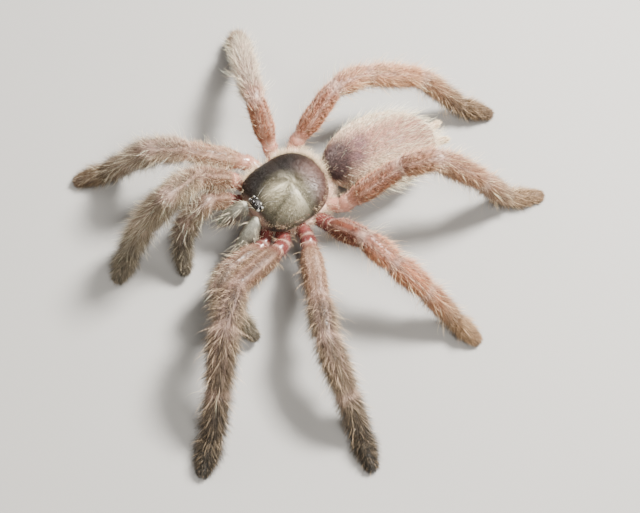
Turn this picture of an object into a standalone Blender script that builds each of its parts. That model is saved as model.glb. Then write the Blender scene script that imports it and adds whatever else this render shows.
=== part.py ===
"""A purple tree tarantula at life size, standing still on eight feet.

The head looks along -Y, the animal's left side is +X and the floor is z = 0.
Each limb is a chain of segments with real lengths, posed by yaw and pitch angles.
"""
import math
import random

import bmesh
import bpy
from mathutils import Matrix, Vector
from mathutils.bvhtree import BVHTree

MM = 0.001
GAP = 0.3 * MM

# Front part of the body: the shield on top, the breastplate below and the eyes.
SHIELD_WIDTH = 14.2 * MM
SHIELD_WIDEST_Y = 1.2 * MM
SHIELD_FRONT_LENGTH = 9.3 * MM
SHIELD_REAR_LENGTH = 6.9 * MM
SHIELD_FRONT_BLUNTNESS = 4.4
SHIELD_REAR_BLUNTNESS = 2.2
SHIELD_FRONT_NARROWING = 0.27
SHIELD_EDGE_Z = 10.0 * MM
SHIELD_UNDERSIDE_Z = 9.0 * MM
THORAX_RISE = 2.9 * MM
HEAD_EXTRA_RISE = 1.5 * MM
HEAD_RISE_Y = -4.4 * MM
HEAD_RISE_HALF_LENGTH = 4.4 * MM
HEAD_RISE_HALF_WIDTH = 4.2 * MM
PIT_Y = 2.0 * MM
PIT_DEPTH = 0.8 * MM
PIT_HALF_WIDTH = 1.1 * MM
PIT_HALF_LENGTH = 0.7 * MM
STERNUM_CENTRE = (0.0, -0.6 * MM, 7.0 * MM)
STERNUM_HALF = (3.3 * MM, 4.4 * MM, 1.2 * MM)
LABIUM_CENTRE = (0.0, -6.1 * MM, 6.7 * MM)
LABIUM_HALF = (0.85 * MM, 0.75 * MM, 0.65 * MM)

EYE_MOUND_Y = -6.8 * MM
EYE_MOUND_HALF = (1.6 * MM, 1.15 * MM, 0.95 * MM)
EYE_GAP = 0.15 * MM
# Place on the mound, across and along, and radius of the eye on each side.
EYES = {
    "front_inner": (0.44 * MM, -0.40 * MM, 0.34 * MM),
    "front_outer": (1.22 * MM, -0.50 * MM, 0.34 * MM),
    "rear_outer": (1.26 * MM, 0.34 * MM, 0.30 * MM),
    "rear_inner": (0.58 * MM, 0.52 * MM, 0.24 * MM),
}

# Stalk and rear part of the body.
PEDICEL_START = (0.0, 5.3 * MM, 7.6 * MM)
PEDICEL_END = (0.2 * MM, 8.4 * MM, 7.8 * MM)
PEDICEL_RADIUS = 1.05 * MM
ABDOMEN_FRONT = (0.1 * MM, 8.8 * MM, 8.9 * MM)
ABDOMEN_LENGTH = 23.6 * MM
ABDOMEN_WIDTH = 15.6 * MM
ABDOMEN_HEIGHT = 12.4 * MM
ABDOMEN_YAW = 13.0
ABDOMEN_DROOP = 4.0
SPINNERET_LENGTH = 3.4 * MM
SPINNERET_RADIUS = 0.75 * MM
SPINNERET_SPREAD = 14.0
SPINNERET_OFFSET = 1.25 * MM
SPINNERET_SINK = 0.35 * MM

# Jaws, seen from their roots under the shield's front edge.
JAW_ROOT = (1.85 * MM, -8.0 * MM, 9.9 * MM)
JAW_LENGTH = 7.4 * MM
JAW_HALF_WIDTH = 1.5 * MM
JAW_HALF_HEIGHT = 1.85 * MM
JAW_YAW = 14.0
JAW_DROP = 36.0
JAW_BACK_Y = -8.45 * MM
FANG_LENGTH = 3.8 * MM
FANG_RADIUS = 0.5 * MM

# Hips: each coxa runs out from the breastplate's edge to the joint with the femur.
HIP_INNER_ANGLES = {0: 28.0, 1: 57.0, 2: 85.0, 3: 113.0, 4: 141.0}
HIP_INNER_REACH = (3.95 * MM, 5.1 * MM)
HIP_INNER_Z = 6.7 * MM
HIP_INNER_RADIUS = 0.95 * MM
HIP_OUTER = {
    0: (5.8 * MM, -9.2 * MM, 7.0 * MM),
    1: (8.2 * MM, -6.3 * MM, 8.0 * MM),
    2: (9.5 * MM, -1.7 * MM, 8.0 * MM),
    3: (9.5 * MM, 3.0 * MM, 8.0 * MM),
    4: (8.0 * MM, 7.3 * MM, 8.0 * MM),
}

# Femur, patella, tibia, metatarsus and tarsus in millimetres; pair 0 is the palps,
# which have no metatarsus.
SEGMENT_LENGTHS = {
    0: (8.6, 5.0, 6.8, 7.0),
    1: (14.6, 8.2, 11.8, 10.6, 7.6),
    2: (13.4, 7.6, 10.6, 10.0, 7.5),
    3: (11.6, 6.4, 8.8, 9.6, 7.0),
    4: (14.4, 7.0, 12.0, 13.4, 7.8),
}
# Radius at the start, in the belly and at the end of each segment, in millimetres.
FEMUR_RADII = (1.6, 2.05, 1.75)
PATELLA_RADII = (1.75, 1.95, 1.75)
TIBIA_RADII = (1.75, 1.95, 1.65)
METATARSUS_RADII = (1.6, 1.6, 1.5)
TARSUS_RADII = (1.45, 1.6, 1.15)
SWELL_STEPS = (0.12, 0.42, 0.88)
PALP_SCALE = 0.88
TIP_SIZES = (0.86, 0.45)
TIP_STEPS = (1.1, 0.35)
PAD_DEPTH = 0.3
PALP_TIP_HEIGHT = 1.7 * MM

# Yaw is turned from straight ahead towards the limb's own side and pitch is up from level,
# in degrees. A leg's metatarsus and a palp's tarsus have no pitch here: they take up the
# height that is left above the floor.
LEG_POSES = {
    "left_1": ((16, 43, 47, 43, 42), (25, 17, -36, -5)),
    "left_2": ((63, 63, 76, 84, 72), (15, 12, -21, -4)),
    "left_3": ((101, 106, 116, 114, 107), (42, -10, -33, -22)),
    "left_4": ((167, 146, 140, 154, 152), (37, 26, -37, -5)),
    "right_1": ((-2, -22, 34, 11, -28), (55, 34, -63, -34)),
    "right_2": ((34, 15, 61, 43, 20), (26, 36, -56, -9)),
    "right_3": ((101, 110, 115, 115, 115), (49, -20, -23, -38)),
    "right_4": ((169, 182, 209, 222, 221), (37, -11, -13, -21)),
}
PALP_POSES = {
    "left": ((6, 30, 98, 102), (19, 8, -55)),
    "right": ((-7, -2, -18, -60), (55, -22, -66)),
}

# Bristly coat: staggered rows of flat tapered locks, sizes in millimetres. The patella
# shares the femur's and "foot" is the metatarsus.
SEED = 7
ROW_SPACING = {"femur": 4.3, "tibia": 4.0, "foot": 4.4, "tarsus": 3.8}
ROW_LOCKS = {"femur": 4, "tibia": 4, "foot": 4, "tarsus": 3}
LOCK_LENGTH = {"femur": 5.4, "tibia": 5.8, "foot": 5.2, "tarsus": 3.8}
LOCK_WIDTH = {"femur": 2.6, "tibia": 2.5, "foot": 2.4, "tarsus": 2.1}
LOCK_LENGTH_SPREAD = (0.8, 1.2)
LOCK_THICKNESS = 0.6
LOCK_UNDERSIDE = 0.4
# Lift from the skin in degrees, its share in each stretch, and width at root and bend.
LOCK_LIFT = (20.0, 34.0)
LOCK_STEPS = (0.48, 0.52)
LOCK_DROOP = (1.0, 0.6)
LOCK_TAPER = (0.55, 1.0)
LOCK_CURL = 0.12
LOCK_SINK = 0.42
# How far the lie turns into the next segment's at a joint.
LOCK_FOLLOW = 0.6
LOCK_SCATTER = 0.12
FIRST_ROW = 0.35
# Shorter and steeper tries for a lock that comes too near something.
LOCK_TRIES = ((1.0, 0.0), (0.8, 8.0), (0.6, 12.0))
LOCK_CLEARANCE = 0.5 * MM
LOCK_REACH = 3.5 * MM
LOCK_APART = 0.75 * MM
SAMPLE_STEPS = (0.25, 0.5, 0.75)
FLAT_ANGLE = math.radians(0.6)
ABDOMEN_ROWS = 6
ABDOMEN_ROW_LOCKS = 10
ABDOMEN_FEWEST_LOCKS = 5
ABDOMEN_FIRST_ROW = -0.72
ABDOMEN_LAST_ROW = 0.84
ABDOMEN_LOCK_LENGTH = (3.6, 5.6)
ABDOMEN_LOCK_WIDTH = 2.8

SIDES = {"left": 1, "right": -1}
COLOURS = {
    "shield": (0.055, 0.047, 0.035),
    "hip": (0.38, 0.17, 0.15),
    "leg": (0.30, 0.20, 0.15),
    "foot": (0.17, 0.14, 0.11),
    "abdomen": (0.40, 0.27, 0.24),
    "jaw": (0.20, 0.19, 0.16),
    "fang": (0.04, 0.015, 0.01),
    "eye": (0.005, 0.005, 0.006),
}
ROUGHNESS = {"shield": 0.35, "fang": 0.2, "eye": 0.05}
DEFAULT_ROUGHNESS = 0.7


def clear_scene():
    """Removes every object that the scene starts with."""
    for obj in list(bpy.data.objects):
        bpy.data.objects.remove(obj, do_unlink=True)


def new_collection(name, hidden=False):
    """A collection in the scene, left out of renders where it only holds helpers."""
    collection = bpy.data.collections.new(name)
    bpy.context.scene.collection.children.link(collection)
    collection.hide_render = hidden
    return collection


def material(name):
    """The Principled material of one kind of sub-part, made once."""
    found = bpy.data.materials.get(name)
    if found:
        return found
    made = bpy.data.materials.new(name)
    made.use_nodes = True
    shader = made.node_tree.nodes["Principled BSDF"]
    shader.inputs["Base Color"].default_value = (*COLOURS[name], 1.0)
    shader.inputs["Roughness"].default_value = ROUGHNESS.get(name, DEFAULT_ROUGHNESS)
    shader.inputs["Metallic"].default_value = 0.0
    return made


def add_part(name, bm, finish):
    """Turns a bmesh into a named, smooth-shaded object with its own material slot."""
    bmesh.ops.recalc_face_normals(bm, faces=bm.faces)
    bmesh.ops.triangulate(bm, faces=bm.faces)
    mesh = bpy.data.meshes.new(name)
    bm.to_mesh(mesh)
    bm.free()
    mesh.materials.append(material(finish))
    mesh.shade_smooth()
    part = bpy.data.objects.new(name, mesh)
    PARTS.objects.link(part)
    return part


def cut_off(bm, point, direction):
    """Cuts a closed shape at a plane, drops what lies ahead of it and closes the cut."""
    geometry = bm.verts[:] + bm.edges[:] + bm.faces[:]
    bmesh.ops.bisect_plane(
        bm,
        geom=geometry,
        dist=1e-7,
        plane_co=point,
        plane_no=direction,
        clear_outer=True,
    )
    rim = [edge for edge in bm.edges if edge.is_boundary]
    bmesh.ops.holes_fill(bm, edges=rim)


def ball(segments, rings, shape):
    """A UV sphere whose points are moved to shape(x, y, z) of the unit sphere."""
    bm = bmesh.new()
    bmesh.ops.create_uvsphere(bm, u_segments=segments, v_segments=rings, radius=1.0)
    for vertex in bm.verts:
        vertex.co = Vector(shape(*vertex.co))
    return bm


def ellipsoid(centre, half, segments, rings):
    """A UV sphere stretched to three half axes about a centre."""
    return ball(
        segments,
        rings,
        lambda x, y, z: (
            centre[0] + half[0] * x,
            centre[1] + half[1] * y,
            centre[2] + half[2] * z,
        ),
    )


def tube(points, radii, resolution=2):
    """A limb stretch: a poly curve with a bevel and its own radius at each point, as a mesh."""
    curve = bpy.data.curves.new("stretch", "CURVE")
    curve.dimensions = "3D"
    curve.bevel_depth = MM
    curve.bevel_resolution = resolution
    curve.use_fill_caps = True
    spline = curve.splines.new("POLY")
    spline.points.add(len(points) - 1)
    for spot, point, radius in zip(spline.points, points, radii):
        spot.co = (*point, 1.0)
        spot.radius = radius / MM
    guide = bpy.data.objects.new("stretch", curve)
    PARTS.objects.link(guide)
    bpy.context.view_layer.update()
    graph = bpy.context.evaluated_depsgraph_get()
    mesh = bpy.data.meshes.new_from_object(guide.evaluated_get(graph))
    bm = bmesh.new()
    bm.from_mesh(mesh)
    bmesh.ops.remove_doubles(bm, verts=bm.verts, dist=1e-7)
    bpy.data.objects.remove(guide, do_unlink=True)
    bpy.data.curves.remove(curve)
    bpy.data.meshes.remove(mesh)
    return bm


def heading(yaw, pitch, side):
    """The unit direction of a segment from its yaw and pitch in degrees."""
    turn = math.radians(yaw)
    rise = math.radians(pitch)
    return Vector(
        (
            side * math.cos(rise) * math.sin(turn),
            -math.cos(rise) * math.cos(turn),
            math.sin(rise),
        )
    )


def fitted_pitch(height, length):
    """The pitch in degrees that comes down by a height over a segment's length."""
    return -math.degrees(math.asin(min(1.0, height / length)))


def tip_height(pitch):
    """Height of a leg's tip at which the pad under it dips just below the floor."""
    radius = TARSUS_RADII[-1]
    slope = math.radians(pitch)
    pad = radius * TIP_SIZES[0] * math.cos(slope)
    back = radius * TIP_STEPS[1] * math.sin(-slope)
    return (pad - back - PAD_DEPTH) * MM


def limb_joints(pair, side, yaws, pitches):
    """The joint points of a limb from its hip to its tip, at the lengths of its pair."""
    lengths = [length * MM for length in SEGMENT_LENGTHS[pair]]
    hip = Vector(HIP_OUTER[pair])
    hip.x *= side
    drops = [length * math.sin(math.radians(p)) for length, p in zip(lengths, pitches)]
    if pair == 0:
        left_over = hip.z + sum(drops) - PALP_TIP_HEIGHT
        angles = [*pitches, fitted_pitch(left_over, lengths[3])]
    else:
        tarsus_drop = lengths[4] * math.sin(math.radians(pitches[3]))
        left_over = hip.z + sum(drops[:3]) + tarsus_drop - tip_height(pitches[3])
        angles = [*pitches[:3], fitted_pitch(left_over, lengths[3]), pitches[3]]
    joints = [hip]
    for length, yaw, pitch in zip(lengths, yaws, angles):
        joints.append(joints[-1] + length * heading(yaw, pitch, side))
    return joints


def mitre(before, joint, after):
    """The plane that parts two segments: its normal halves the bend at their joint."""
    return ((joint - before).normalized() + (after - joint).normalized()).normalized()


def swell(start, end, radii):
    """Points and radii along one segment, with its belly at four tenths of the way."""
    points = [start.lerp(end, step) for step in SWELL_STEPS]
    return points, [radius * MM for radius in radii]


def limb_piece(joints, radii, before, after=None):
    """One stretch of a limb, cut face to face with its neighbours at each end.

    Without a joint after it, the stretch ends in a rounded tip.
    """
    points = []
    widths = []
    for start, end, sizes in zip(joints, joints[1:], radii):
        more, wide = swell(start, end, sizes)
        points += more
        widths += wide
    first = (joints[1] - joints[0]).normalized()
    last = (joints[-1] - joints[-2]).normalized()
    points.insert(0, joints[0] - first * widths[0])
    widths.insert(0, widths[0])
    if after is None:
        full = widths[-1]
        points[-1] = joints[-1] - last * full * TIP_STEPS[0]
        points.append(joints[-1] - last * full * TIP_STEPS[1])
        points.append(joints[-1])
        widths += [full * size for size in TIP_SIZES]
    else:
        points.append(joints[-1] + last * widths[-1])
        widths.append(widths[-1])
    bm = tube(points, widths)
    normal = mitre(before, joints[0], joints[1])
    cut_off(bm, joints[0] + normal * GAP / 2, -normal)
    if after is not None:
        normal = mitre(joints[-2], joints[-1], after)
        cut_off(bm, joints[-1] - normal * GAP / 2, normal)
    return bm


def hip_inner(pair, side):
    """The inner end of a coxa, on an oval just outside the breastplate."""
    angle = math.radians(HIP_INNER_ANGLES[pair])
    return Vector(
        (
            side * HIP_INNER_REACH[0] * math.sin(angle),
            STERNUM_CENTRE[1] - HIP_INNER_REACH[1] * math.cos(angle),
            HIP_INNER_Z,
        )
    )


def add_hip(name, pair, side, joints, outer_radius):
    """The coxa and trochanter, a wedge from the breastplate to the femur."""
    inner = hip_inner(pair, side)
    outer = joints[0]
    along = (outer - inner).normalized()
    points = [inner, inner.lerp(outer, 0.55), outer, outer + along * outer_radius]
    radii = [HIP_INNER_RADIUS, outer_radius * 0.8, outer_radius, outer_radius * 0.9]
    bm = tube(points, radii)
    normal = mitre(inner, outer, joints[1])
    cut_off(bm, outer - normal * GAP / 2, normal)
    add_part(name, bm, "hip")
    return inner


def limb_rows(joints, radii, kinds, after=None):
    """Roots of a limb's locks as (kind, point, outward, lie), in staggered rows.

    Towards a joint the lie turns into the next segment's, so that the knees' locks bend over.
    """
    roots = []
    ends = [*joints[2:], after or joints[-1] * 2 - joints[-2]]
    for start, end, beyond, sizes, kind in zip(joints, joints[1:], ends, radii, kinds):
        axis = (end - start).normalized()
        ahead = (beyond - end).normalized()
        level = axis.cross(Vector((0.0, 0.0, 1.0))).normalized()
        rows = max(2, round((end - start).length / (ROW_SPACING[kind] * MM)))
        for row in range(rows):
            along = (row + FIRST_ROW) / rows
            radius = swollen_radius(sizes, along) * MM
            for place in range(ROW_LOCKS[kind]):
                stagger = 0.5 * (row % 2) + DRAW.uniform(-LOCK_SCATTER, LOCK_SCATTER)
                turn = 2 * math.pi * ((place + stagger) / ROW_LOCKS[kind] + 0.125)
                outward = Matrix.Rotation(turn, 3, axis) @ level
                lie = axis.lerp(ahead, LOCK_FOLLOW * along * along)
                lie = (lie - outward * max(0.0, lie.dot(outward))).normalized()
                point = start.lerp(end, along) + outward * radius
                roots.append((kind, point, outward, lie))
    return roots


def swollen_radius(sizes, along):
    """The radius part way along a segment, between its start, belly and end."""
    if along <= SWELL_STEPS[0]:
        return sizes[0]
    for step in (1, 2):
        low, high = SWELL_STEPS[step - 1 : step + 1]
        if along < high:
            return sizes[step - 1] + (sizes[step] - sizes[step - 1]) * (along - low) / (high - low)
    return sizes[2]


def abdomen_rows():
    """Roots of the rear body's locks, lying back over it in rings round its length."""
    place = abdomen_place()
    turn = place.to_3x3()
    nudge = 0.02
    roots = []
    for row in range(ABDOMEN_ROWS):
        share = row / (ABDOMEN_ROWS - 1)
        latitude = math.asin(ABDOMEN_FIRST_ROW * (1 - share) + ABDOMEN_LAST_ROW * share)
        count = max(ABDOMEN_FEWEST_LOCKS, round(ABDOMEN_ROW_LOCKS * math.cos(latitude)))
        for step in range(count):
            stagger = 0.5 * (row % 2) + DRAW.uniform(-LOCK_SCATTER, LOCK_SCATTER)
            angle = 2 * math.pi * (step + stagger) / count
            here = abdomen_spot(latitude, angle)
            lie = (abdomen_spot(latitude + nudge, angle) - here).normalized()
            outward = lie.cross(abdomen_spot(latitude, angle + nudge) - here).normalized()
            roots.append(("abdomen", place @ here, turn @ outward, turn @ lie))
    return roots


def abdomen_spot(latitude, angle):
    """A point of the rear body's skin by its angles along and round its length."""
    ring = math.cos(latitude)
    spot = abdomen_point(ring * math.cos(angle), math.sin(latitude), ring * math.sin(angle))
    return Vector(spot)


def lock_stations(point, outward, lie, length, lift, curl):
    """The path of a lock: a sunk root, a bend and a tip, lying down as it goes."""
    across = lie.cross(outward)
    stations = [point - outward * LOCK_SINK * MM]
    at = point
    for step, droop in zip(LOCK_STEPS, LOCK_DROOP):
        angle = math.radians(lift * droop)
        at = at + (lie * math.cos(angle) + outward * math.sin(angle) + across * curl) * (
            length * step
        )
        stations.append(at)
    return stations, across


def lock_mesh(stations, across, width, thickness):
    """A flat lock of three-cornered sections: two edges, a low ridge and a pointed tip."""
    bm = bmesh.new()
    rings = []
    for index, taper in enumerate(LOCK_TAPER):
        ahead = (stations[index + 1] - stations[index]).normalized()
        ridge = across.cross(ahead).normalized()
        half = across * (width * taper / 2)
        corners = (
            stations[index] - half - ridge * (thickness * LOCK_UNDERSIDE),
            stations[index] + half - ridge * (thickness * LOCK_UNDERSIDE),
            stations[index] + ridge * (thickness * (1 - LOCK_UNDERSIDE)),
        )
        rings.append([bm.verts.new(corner) for corner in corners])
    tip = bm.verts.new(stations[-1])
    bm.faces.new(rings[0])
    for lower, upper in zip(rings, rings[1:]):
        for side in range(3):
            after = (side + 1) % 3
            bm.faces.new((lower[side], lower[after], upper[after], upper[side]))
    for side in range(3):
        bm.faces.new((rings[-1][side], rings[-1][(side + 1) % 3], tip))
    bmesh.ops.recalc_face_normals(bm, faces=bm.faces)
    bmesh.ops.triangulate(bm, faces=bm.faces)
    bm.verts.index_update()
    bm.verts.ensure_lookup_table()
    return bm


def samples_of(bm):
    """Points over a lock past its sunk root, to test how near it comes to others."""
    points = [vertex.co.copy() for vertex in bm.verts[3:]]
    for edge in bm.edges:
        if max(vertex.index for vertex in edge.verts) < 3:
            continue
        first, second = (vertex.co for vertex in edge.verts)
        points += [first.lerp(second, step) for step in SAMPLE_STEPS]
    return points


def is_clear(node, points, cores, placed):
    """Whether a lock keeps its distance from the floor, other nodes and their locks."""
    if min(point.z for point in points) < LOCK_CLEARANCE:
        return False
    for other, (tree, low, high) in cores.items():
        if other == node:
            continue
        for point in points:
            if any(point[i] < low[i] or point[i] > high[i] for i in range(3)):
                continue
            nearest, normal, _, distance = tree.find_nearest(point)
            if distance < LOCK_CLEARANCE or (point - nearest).dot(normal) < 0:
                return False
    middle = points[len(points) // 2]
    for other, centre, reach, others in placed:
        if other == node or (middle - centre).length > reach + LOCK_REACH:
            continue
        for point in points:
            if any((point - spot).length < LOCK_APART for spot in others):
                return False
    return True


def grow_coat(node, roots, cores, placed):
    """Makes a node's locks where they clear everything, and fuses them with its core."""
    locks = new_collection(f"{node}_locks")
    for kind, point, outward, lie in roots:
        scale = PALP_SCALE if node.startswith("palp") else 1.0
        if kind == "abdomen":
            length = DRAW.uniform(*ABDOMEN_LOCK_LENGTH) * MM
            width = ABDOMEN_LOCK_WIDTH * MM
        else:
            length = LOCK_LENGTH[kind] * DRAW.uniform(*LOCK_LENGTH_SPREAD) * scale * MM
            width = LOCK_WIDTH[kind] * scale * MM
        lift = DRAW.uniform(*LOCK_LIFT)
        curl = DRAW.uniform(-LOCK_CURL, LOCK_CURL)
        for shorter, steeper in LOCK_TRIES:
            reach = length * shorter
            stations, across = lock_stations(point, outward, lie, reach, lift + steeper, curl)
            bm = lock_mesh(stations, across, width, LOCK_THICKNESS * MM)
            points = samples_of(bm)
            if is_clear(node, points, cores, placed):
                break
            bm.free()
        else:
            continue
        middle = points[len(points) // 2]
        reach = max((spot - middle).length for spot in points)
        placed.append((node, middle, reach, points))
        mesh = bpy.data.meshes.new("lock")
        bm.to_mesh(mesh)
        bm.free()
        locks.objects.link(bpy.data.objects.new("lock", mesh))
    fuse(PARTS.objects[node], locks)


def fuse(part, pieces):
    """Joins a collection's closed pieces to a part, keeps its largest surface only."""
    finish = part.data.materials[0]
    if len(pieces.objects):
        union = part.modifiers.new("coat", "BOOLEAN")
        union.operation = "UNION"
        union.solver = "MANIFOLD"
        union.operand_type = "COLLECTION"
        union.collection = pieces
        bpy.context.view_layer.update()
        graph = bpy.context.evaluated_depsgraph_get()
        bm = bmesh.new()
        bm.from_mesh(part.evaluated_get(graph).data)
        part.modifiers.clear()
        keep_largest(bm)
        bmesh.ops.dissolve_limit(bm, angle_limit=FLAT_ANGLE, verts=bm.verts, edges=bm.edges)
        bmesh.ops.triangulate(bm, faces=bm.faces)
        bm.to_mesh(part.data)
        bm.free()
        part.data.materials.clear()
        part.data.materials.append(finish)
        part.data.shade_smooth()
    for piece in list(pieces.objects):
        bpy.data.objects.remove(piece, do_unlink=True)
    bpy.data.collections.remove(pieces)


def keep_largest(bm):
    """Drops every closed surface but the one with most faces."""
    left = set(bm.faces)
    shells = []
    while left:
        shell = {left.pop()}
        edge_faces = list(shell)
        while edge_faces:
            face = edge_faces.pop()
            for edge in face.edges:
                for neighbour in edge.link_faces:
                    if neighbour in left:
                        left.remove(neighbour)
                        shell.add(neighbour)
                        edge_faces.append(neighbour)
        shells.append(shell)
    shells.sort(key=len)
    loose = [face for shell in shells[:-1] for face in shell]
    bmesh.ops.delete(bm, geom=loose, context="FACES")


def grow_coats():
    """Grows the locks of every hairy node, each clear of all that stands before it."""
    cores = {}
    for part in PARTS.objects:
        bm = bmesh.new()
        bm.from_mesh(part.data)
        corners = [Vector(corner) for corner in part.bound_box]
        low = [min(c[i] for c in corners) - LOCK_CLEARANCE for i in range(3)]
        high = [max(c[i] for c in corners) + LOCK_CLEARANCE for i in range(3)]
        cores[part.name] = (BVHTree.FromBMesh(bm), low, high)
        bm.free()
    placed = []
    for node, roots in COATS.items():
        grow_coat(node, roots, cores, placed)


def add_leg(side_name, pair):
    """One leg in four nodes: hip, femur with patella, tibia, and foot."""
    side = SIDES[side_name]
    name = f"leg_{side_name}_{pair}"
    yaws, pitches = LEG_POSES[f"{side_name}_{pair}"]
    joints = limb_joints(pair, side, yaws, pitches)
    inner = add_hip(f"{name}_coxa", pair, side, joints, FEMUR_RADII[0] * MM)
    sizes = [FEMUR_RADII, PATELLA_RADII, TIBIA_RADII, METATARSUS_RADII, TARSUS_RADII]
    femur = limb_piece(joints[:3], sizes[:2], inner, joints[3])
    add_part(f"{name}_femur", femur, "leg")
    tibia = limb_piece(joints[2:4], sizes[2:3], joints[1], joints[4])
    add_part(f"{name}_tibia", tibia, "leg")
    foot = limb_piece(joints[3:], sizes[3:], joints[2])
    cut_off(foot, (0.0, 0.0, 0.0), (0.0, 0.0, -1.0))
    add_part(f"{name}_foot", foot, "foot")
    COATS[f"{name}_femur"] = limb_rows(joints[:3], sizes[:2], ("femur", "femur"), joints[3])
    COATS[f"{name}_tibia"] = limb_rows(joints[2:4], sizes[2:3], ("tibia",), joints[4])
    COATS[f"{name}_foot"] = limb_rows(joints[3:], sizes[3:], ("foot", "tarsus"))


def add_palp(side_name):
    """One palp in four nodes: hip, femur with patella, tibia, and tarsus."""
    side = SIDES[side_name]
    name = f"palp_{side_name}"
    yaws, pitches = PALP_POSES[side_name]
    joints = limb_joints(0, side, yaws, pitches)
    scaled = [
        [radius * PALP_SCALE for radius in sizes]
        for sizes in (FEMUR_RADII, PATELLA_RADII, TIBIA_RADII, TARSUS_RADII)
    ]
    inner = add_hip(f"{name}_coxa", 0, side, joints, scaled[0][0] * MM)
    femur = limb_piece(joints[:3], scaled[:2], inner, joints[3])
    add_part(f"{name}_femur", femur, "leg")
    tibia = limb_piece(joints[2:4], scaled[2:3], joints[1], joints[4])
    add_part(f"{name}_tibia", tibia, "leg")
    add_part(f"{name}_tarsus", limb_piece(joints[3:], scaled[3:], joints[2]), "foot")
    COATS[f"{name}_femur"] = limb_rows(joints[:3], scaled[:2], ("femur", "femur"), joints[3])
    COATS[f"{name}_tibia"] = limb_rows(joints[2:4], scaled[2:3], ("tibia",), joints[4])
    COATS[f"{name}_tarsus"] = limb_rows(joints[3:], scaled[3:], ("tarsus",))


def power(value, exponent):
    """A signed power, which keeps the side that the value is on."""
    return math.copysign(abs(value) ** exponent, value)


def shield_top(x, y, reach):
    """Height of the shield over a point; reach is 0 at its middle and 1 at its edge."""
    rise = THORAX_RISE
    head_along = (y - HEAD_RISE_Y) / HEAD_RISE_HALF_LENGTH
    head_across = x / HEAD_RISE_HALF_WIDTH
    rise += HEAD_EXTRA_RISE * math.exp(-(head_along**2) - head_across**2)
    pit_along = (y - PIT_Y) / PIT_HALF_LENGTH
    pit_across = x / PIT_HALF_WIDTH
    rise -= PIT_DEPTH * math.exp(-(pit_along**2) - pit_across**2)
    return SHIELD_EDGE_Z + rise * math.sqrt(max(0.0, 1.0 - reach**2.4))


def shield_point(x, y, z):
    """Moves a unit-sphere point to the shield: blunt ovals in plan, a dome above."""
    reach = math.hypot(x, y)
    across = x / reach if reach > 1e-6 else 0.0
    along = y / reach if reach > 1e-6 else 0.0
    front = along < 0
    bluntness = SHIELD_FRONT_BLUNTNESS if front else SHIELD_REAR_BLUNTNESS
    length = SHIELD_FRONT_LENGTH if front else SHIELD_REAR_LENGTH
    narrowing = SHIELD_FRONT_NARROWING * (along * reach) ** 2 if front else 0.0
    to_x = SHIELD_WIDTH / 2 * power(across, 2 / bluntness) * reach * (1.0 - narrowing)
    to_y = SHIELD_WIDEST_Y + length * power(along, 2 / bluntness) * reach
    if z < -1e-6:
        depth = SHIELD_EDGE_Z - SHIELD_UNDERSIDE_Z
        to_z = SHIELD_EDGE_Z - depth * min(1.0, -3 * z)
    else:
        to_z = shield_top(to_x, to_y, reach)
    return to_x, to_y, to_z


def add_body_front():
    """The shield, the eye mound with its eight eyes, the breastplate and the lip."""
    shield = add_part("carapace", ball(24, 10, shield_point), "shield")
    mound_reach = (EYE_MOUND_Y - SHIELD_WIDEST_Y) / -SHIELD_FRONT_LENGTH
    mound_z = shield_top(0.0, EYE_MOUND_Y, mound_reach) + 0.05 * MM
    centre = (0.0, EYE_MOUND_Y, mound_z)
    mound = add_part("eye_mound", ellipsoid(centre, EYE_MOUND_HALF, 12, 7), "shield")
    seat_half = [half + GAP for half in EYE_MOUND_HALF]
    seat = add_cutter("seat", ellipsoid(centre, seat_half, 12, 7))
    carve(shield, [seat])
    sockets = []
    for eye_name, (across, along, radius) in EYES.items():
        for side_name, side in SIDES.items():
            flat = (across / EYE_MOUND_HALF[0]) ** 2 + (along / EYE_MOUND_HALF[1]) ** 2
            lift = EYE_MOUND_HALF[2] * math.sqrt(max(0.05, 1.0 - flat))
            spot = (side * across, EYE_MOUND_Y + along, mound_z + lift)
            eye = ellipsoid(spot, (radius,) * 3, 8, 4)
            add_part(f"eye_{side_name}_{eye_name}", eye, "eye")
            socket = ellipsoid(spot, (radius + EYE_GAP,) * 3, 8, 4)
            sockets.append(add_cutter("socket", socket))
    carve(mound, sockets)
    add_part("sternum", ellipsoid(STERNUM_CENTRE, STERNUM_HALF, 16, 6), "shield")
    add_part("labium", ellipsoid(LABIUM_CENTRE, LABIUM_HALF, 12, 6), "shield")


def add_cutter(name, bm):
    """A helper solid that only cuts others and stays out of the model."""
    bmesh.ops.recalc_face_normals(bm, faces=bm.faces)
    mesh = bpy.data.meshes.new(name)
    bm.to_mesh(mesh)
    bm.free()
    cutter = bpy.data.objects.new(name, mesh)
    cutter.hide_render = True
    cutter.display_type = "WIRE"
    CUTTERS.objects.link(cutter)
    return cutter


def carve(part, cutters):
    """Cuts each helper solid out of a part."""
    for cutter in cutters:
        cut = part.modifiers.new(cutter.name, "BOOLEAN")
        cut.operation = "DIFFERENCE"
        cut.solver = "MANIFOLD"
        cut.object = cutter


def abdomen_place():
    """The matrix that carries the rear body from its own axis to its place."""
    turn = Matrix.Rotation(-math.radians(ABDOMEN_YAW), 4, "Z")
    droop = Matrix.Rotation(-math.radians(ABDOMEN_DROOP), 4, "X")
    return Matrix.Translation(ABDOMEN_FRONT) @ turn @ droop


def abdomen_point(x, y, z):
    """Moves a unit-sphere point to an egg, widest behind its middle, flatter below."""
    along = (y + 1.0) / 2.0
    fullness = 1.0 + 0.05 * y - 0.06 * y * y
    low = 0.92 if z < 0 else 1.0
    return (
        x * ABDOMEN_WIDTH / 2 * fullness,
        along * ABDOMEN_LENGTH,
        z * ABDOMEN_HEIGHT / 2 * fullness * low,
    )


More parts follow.
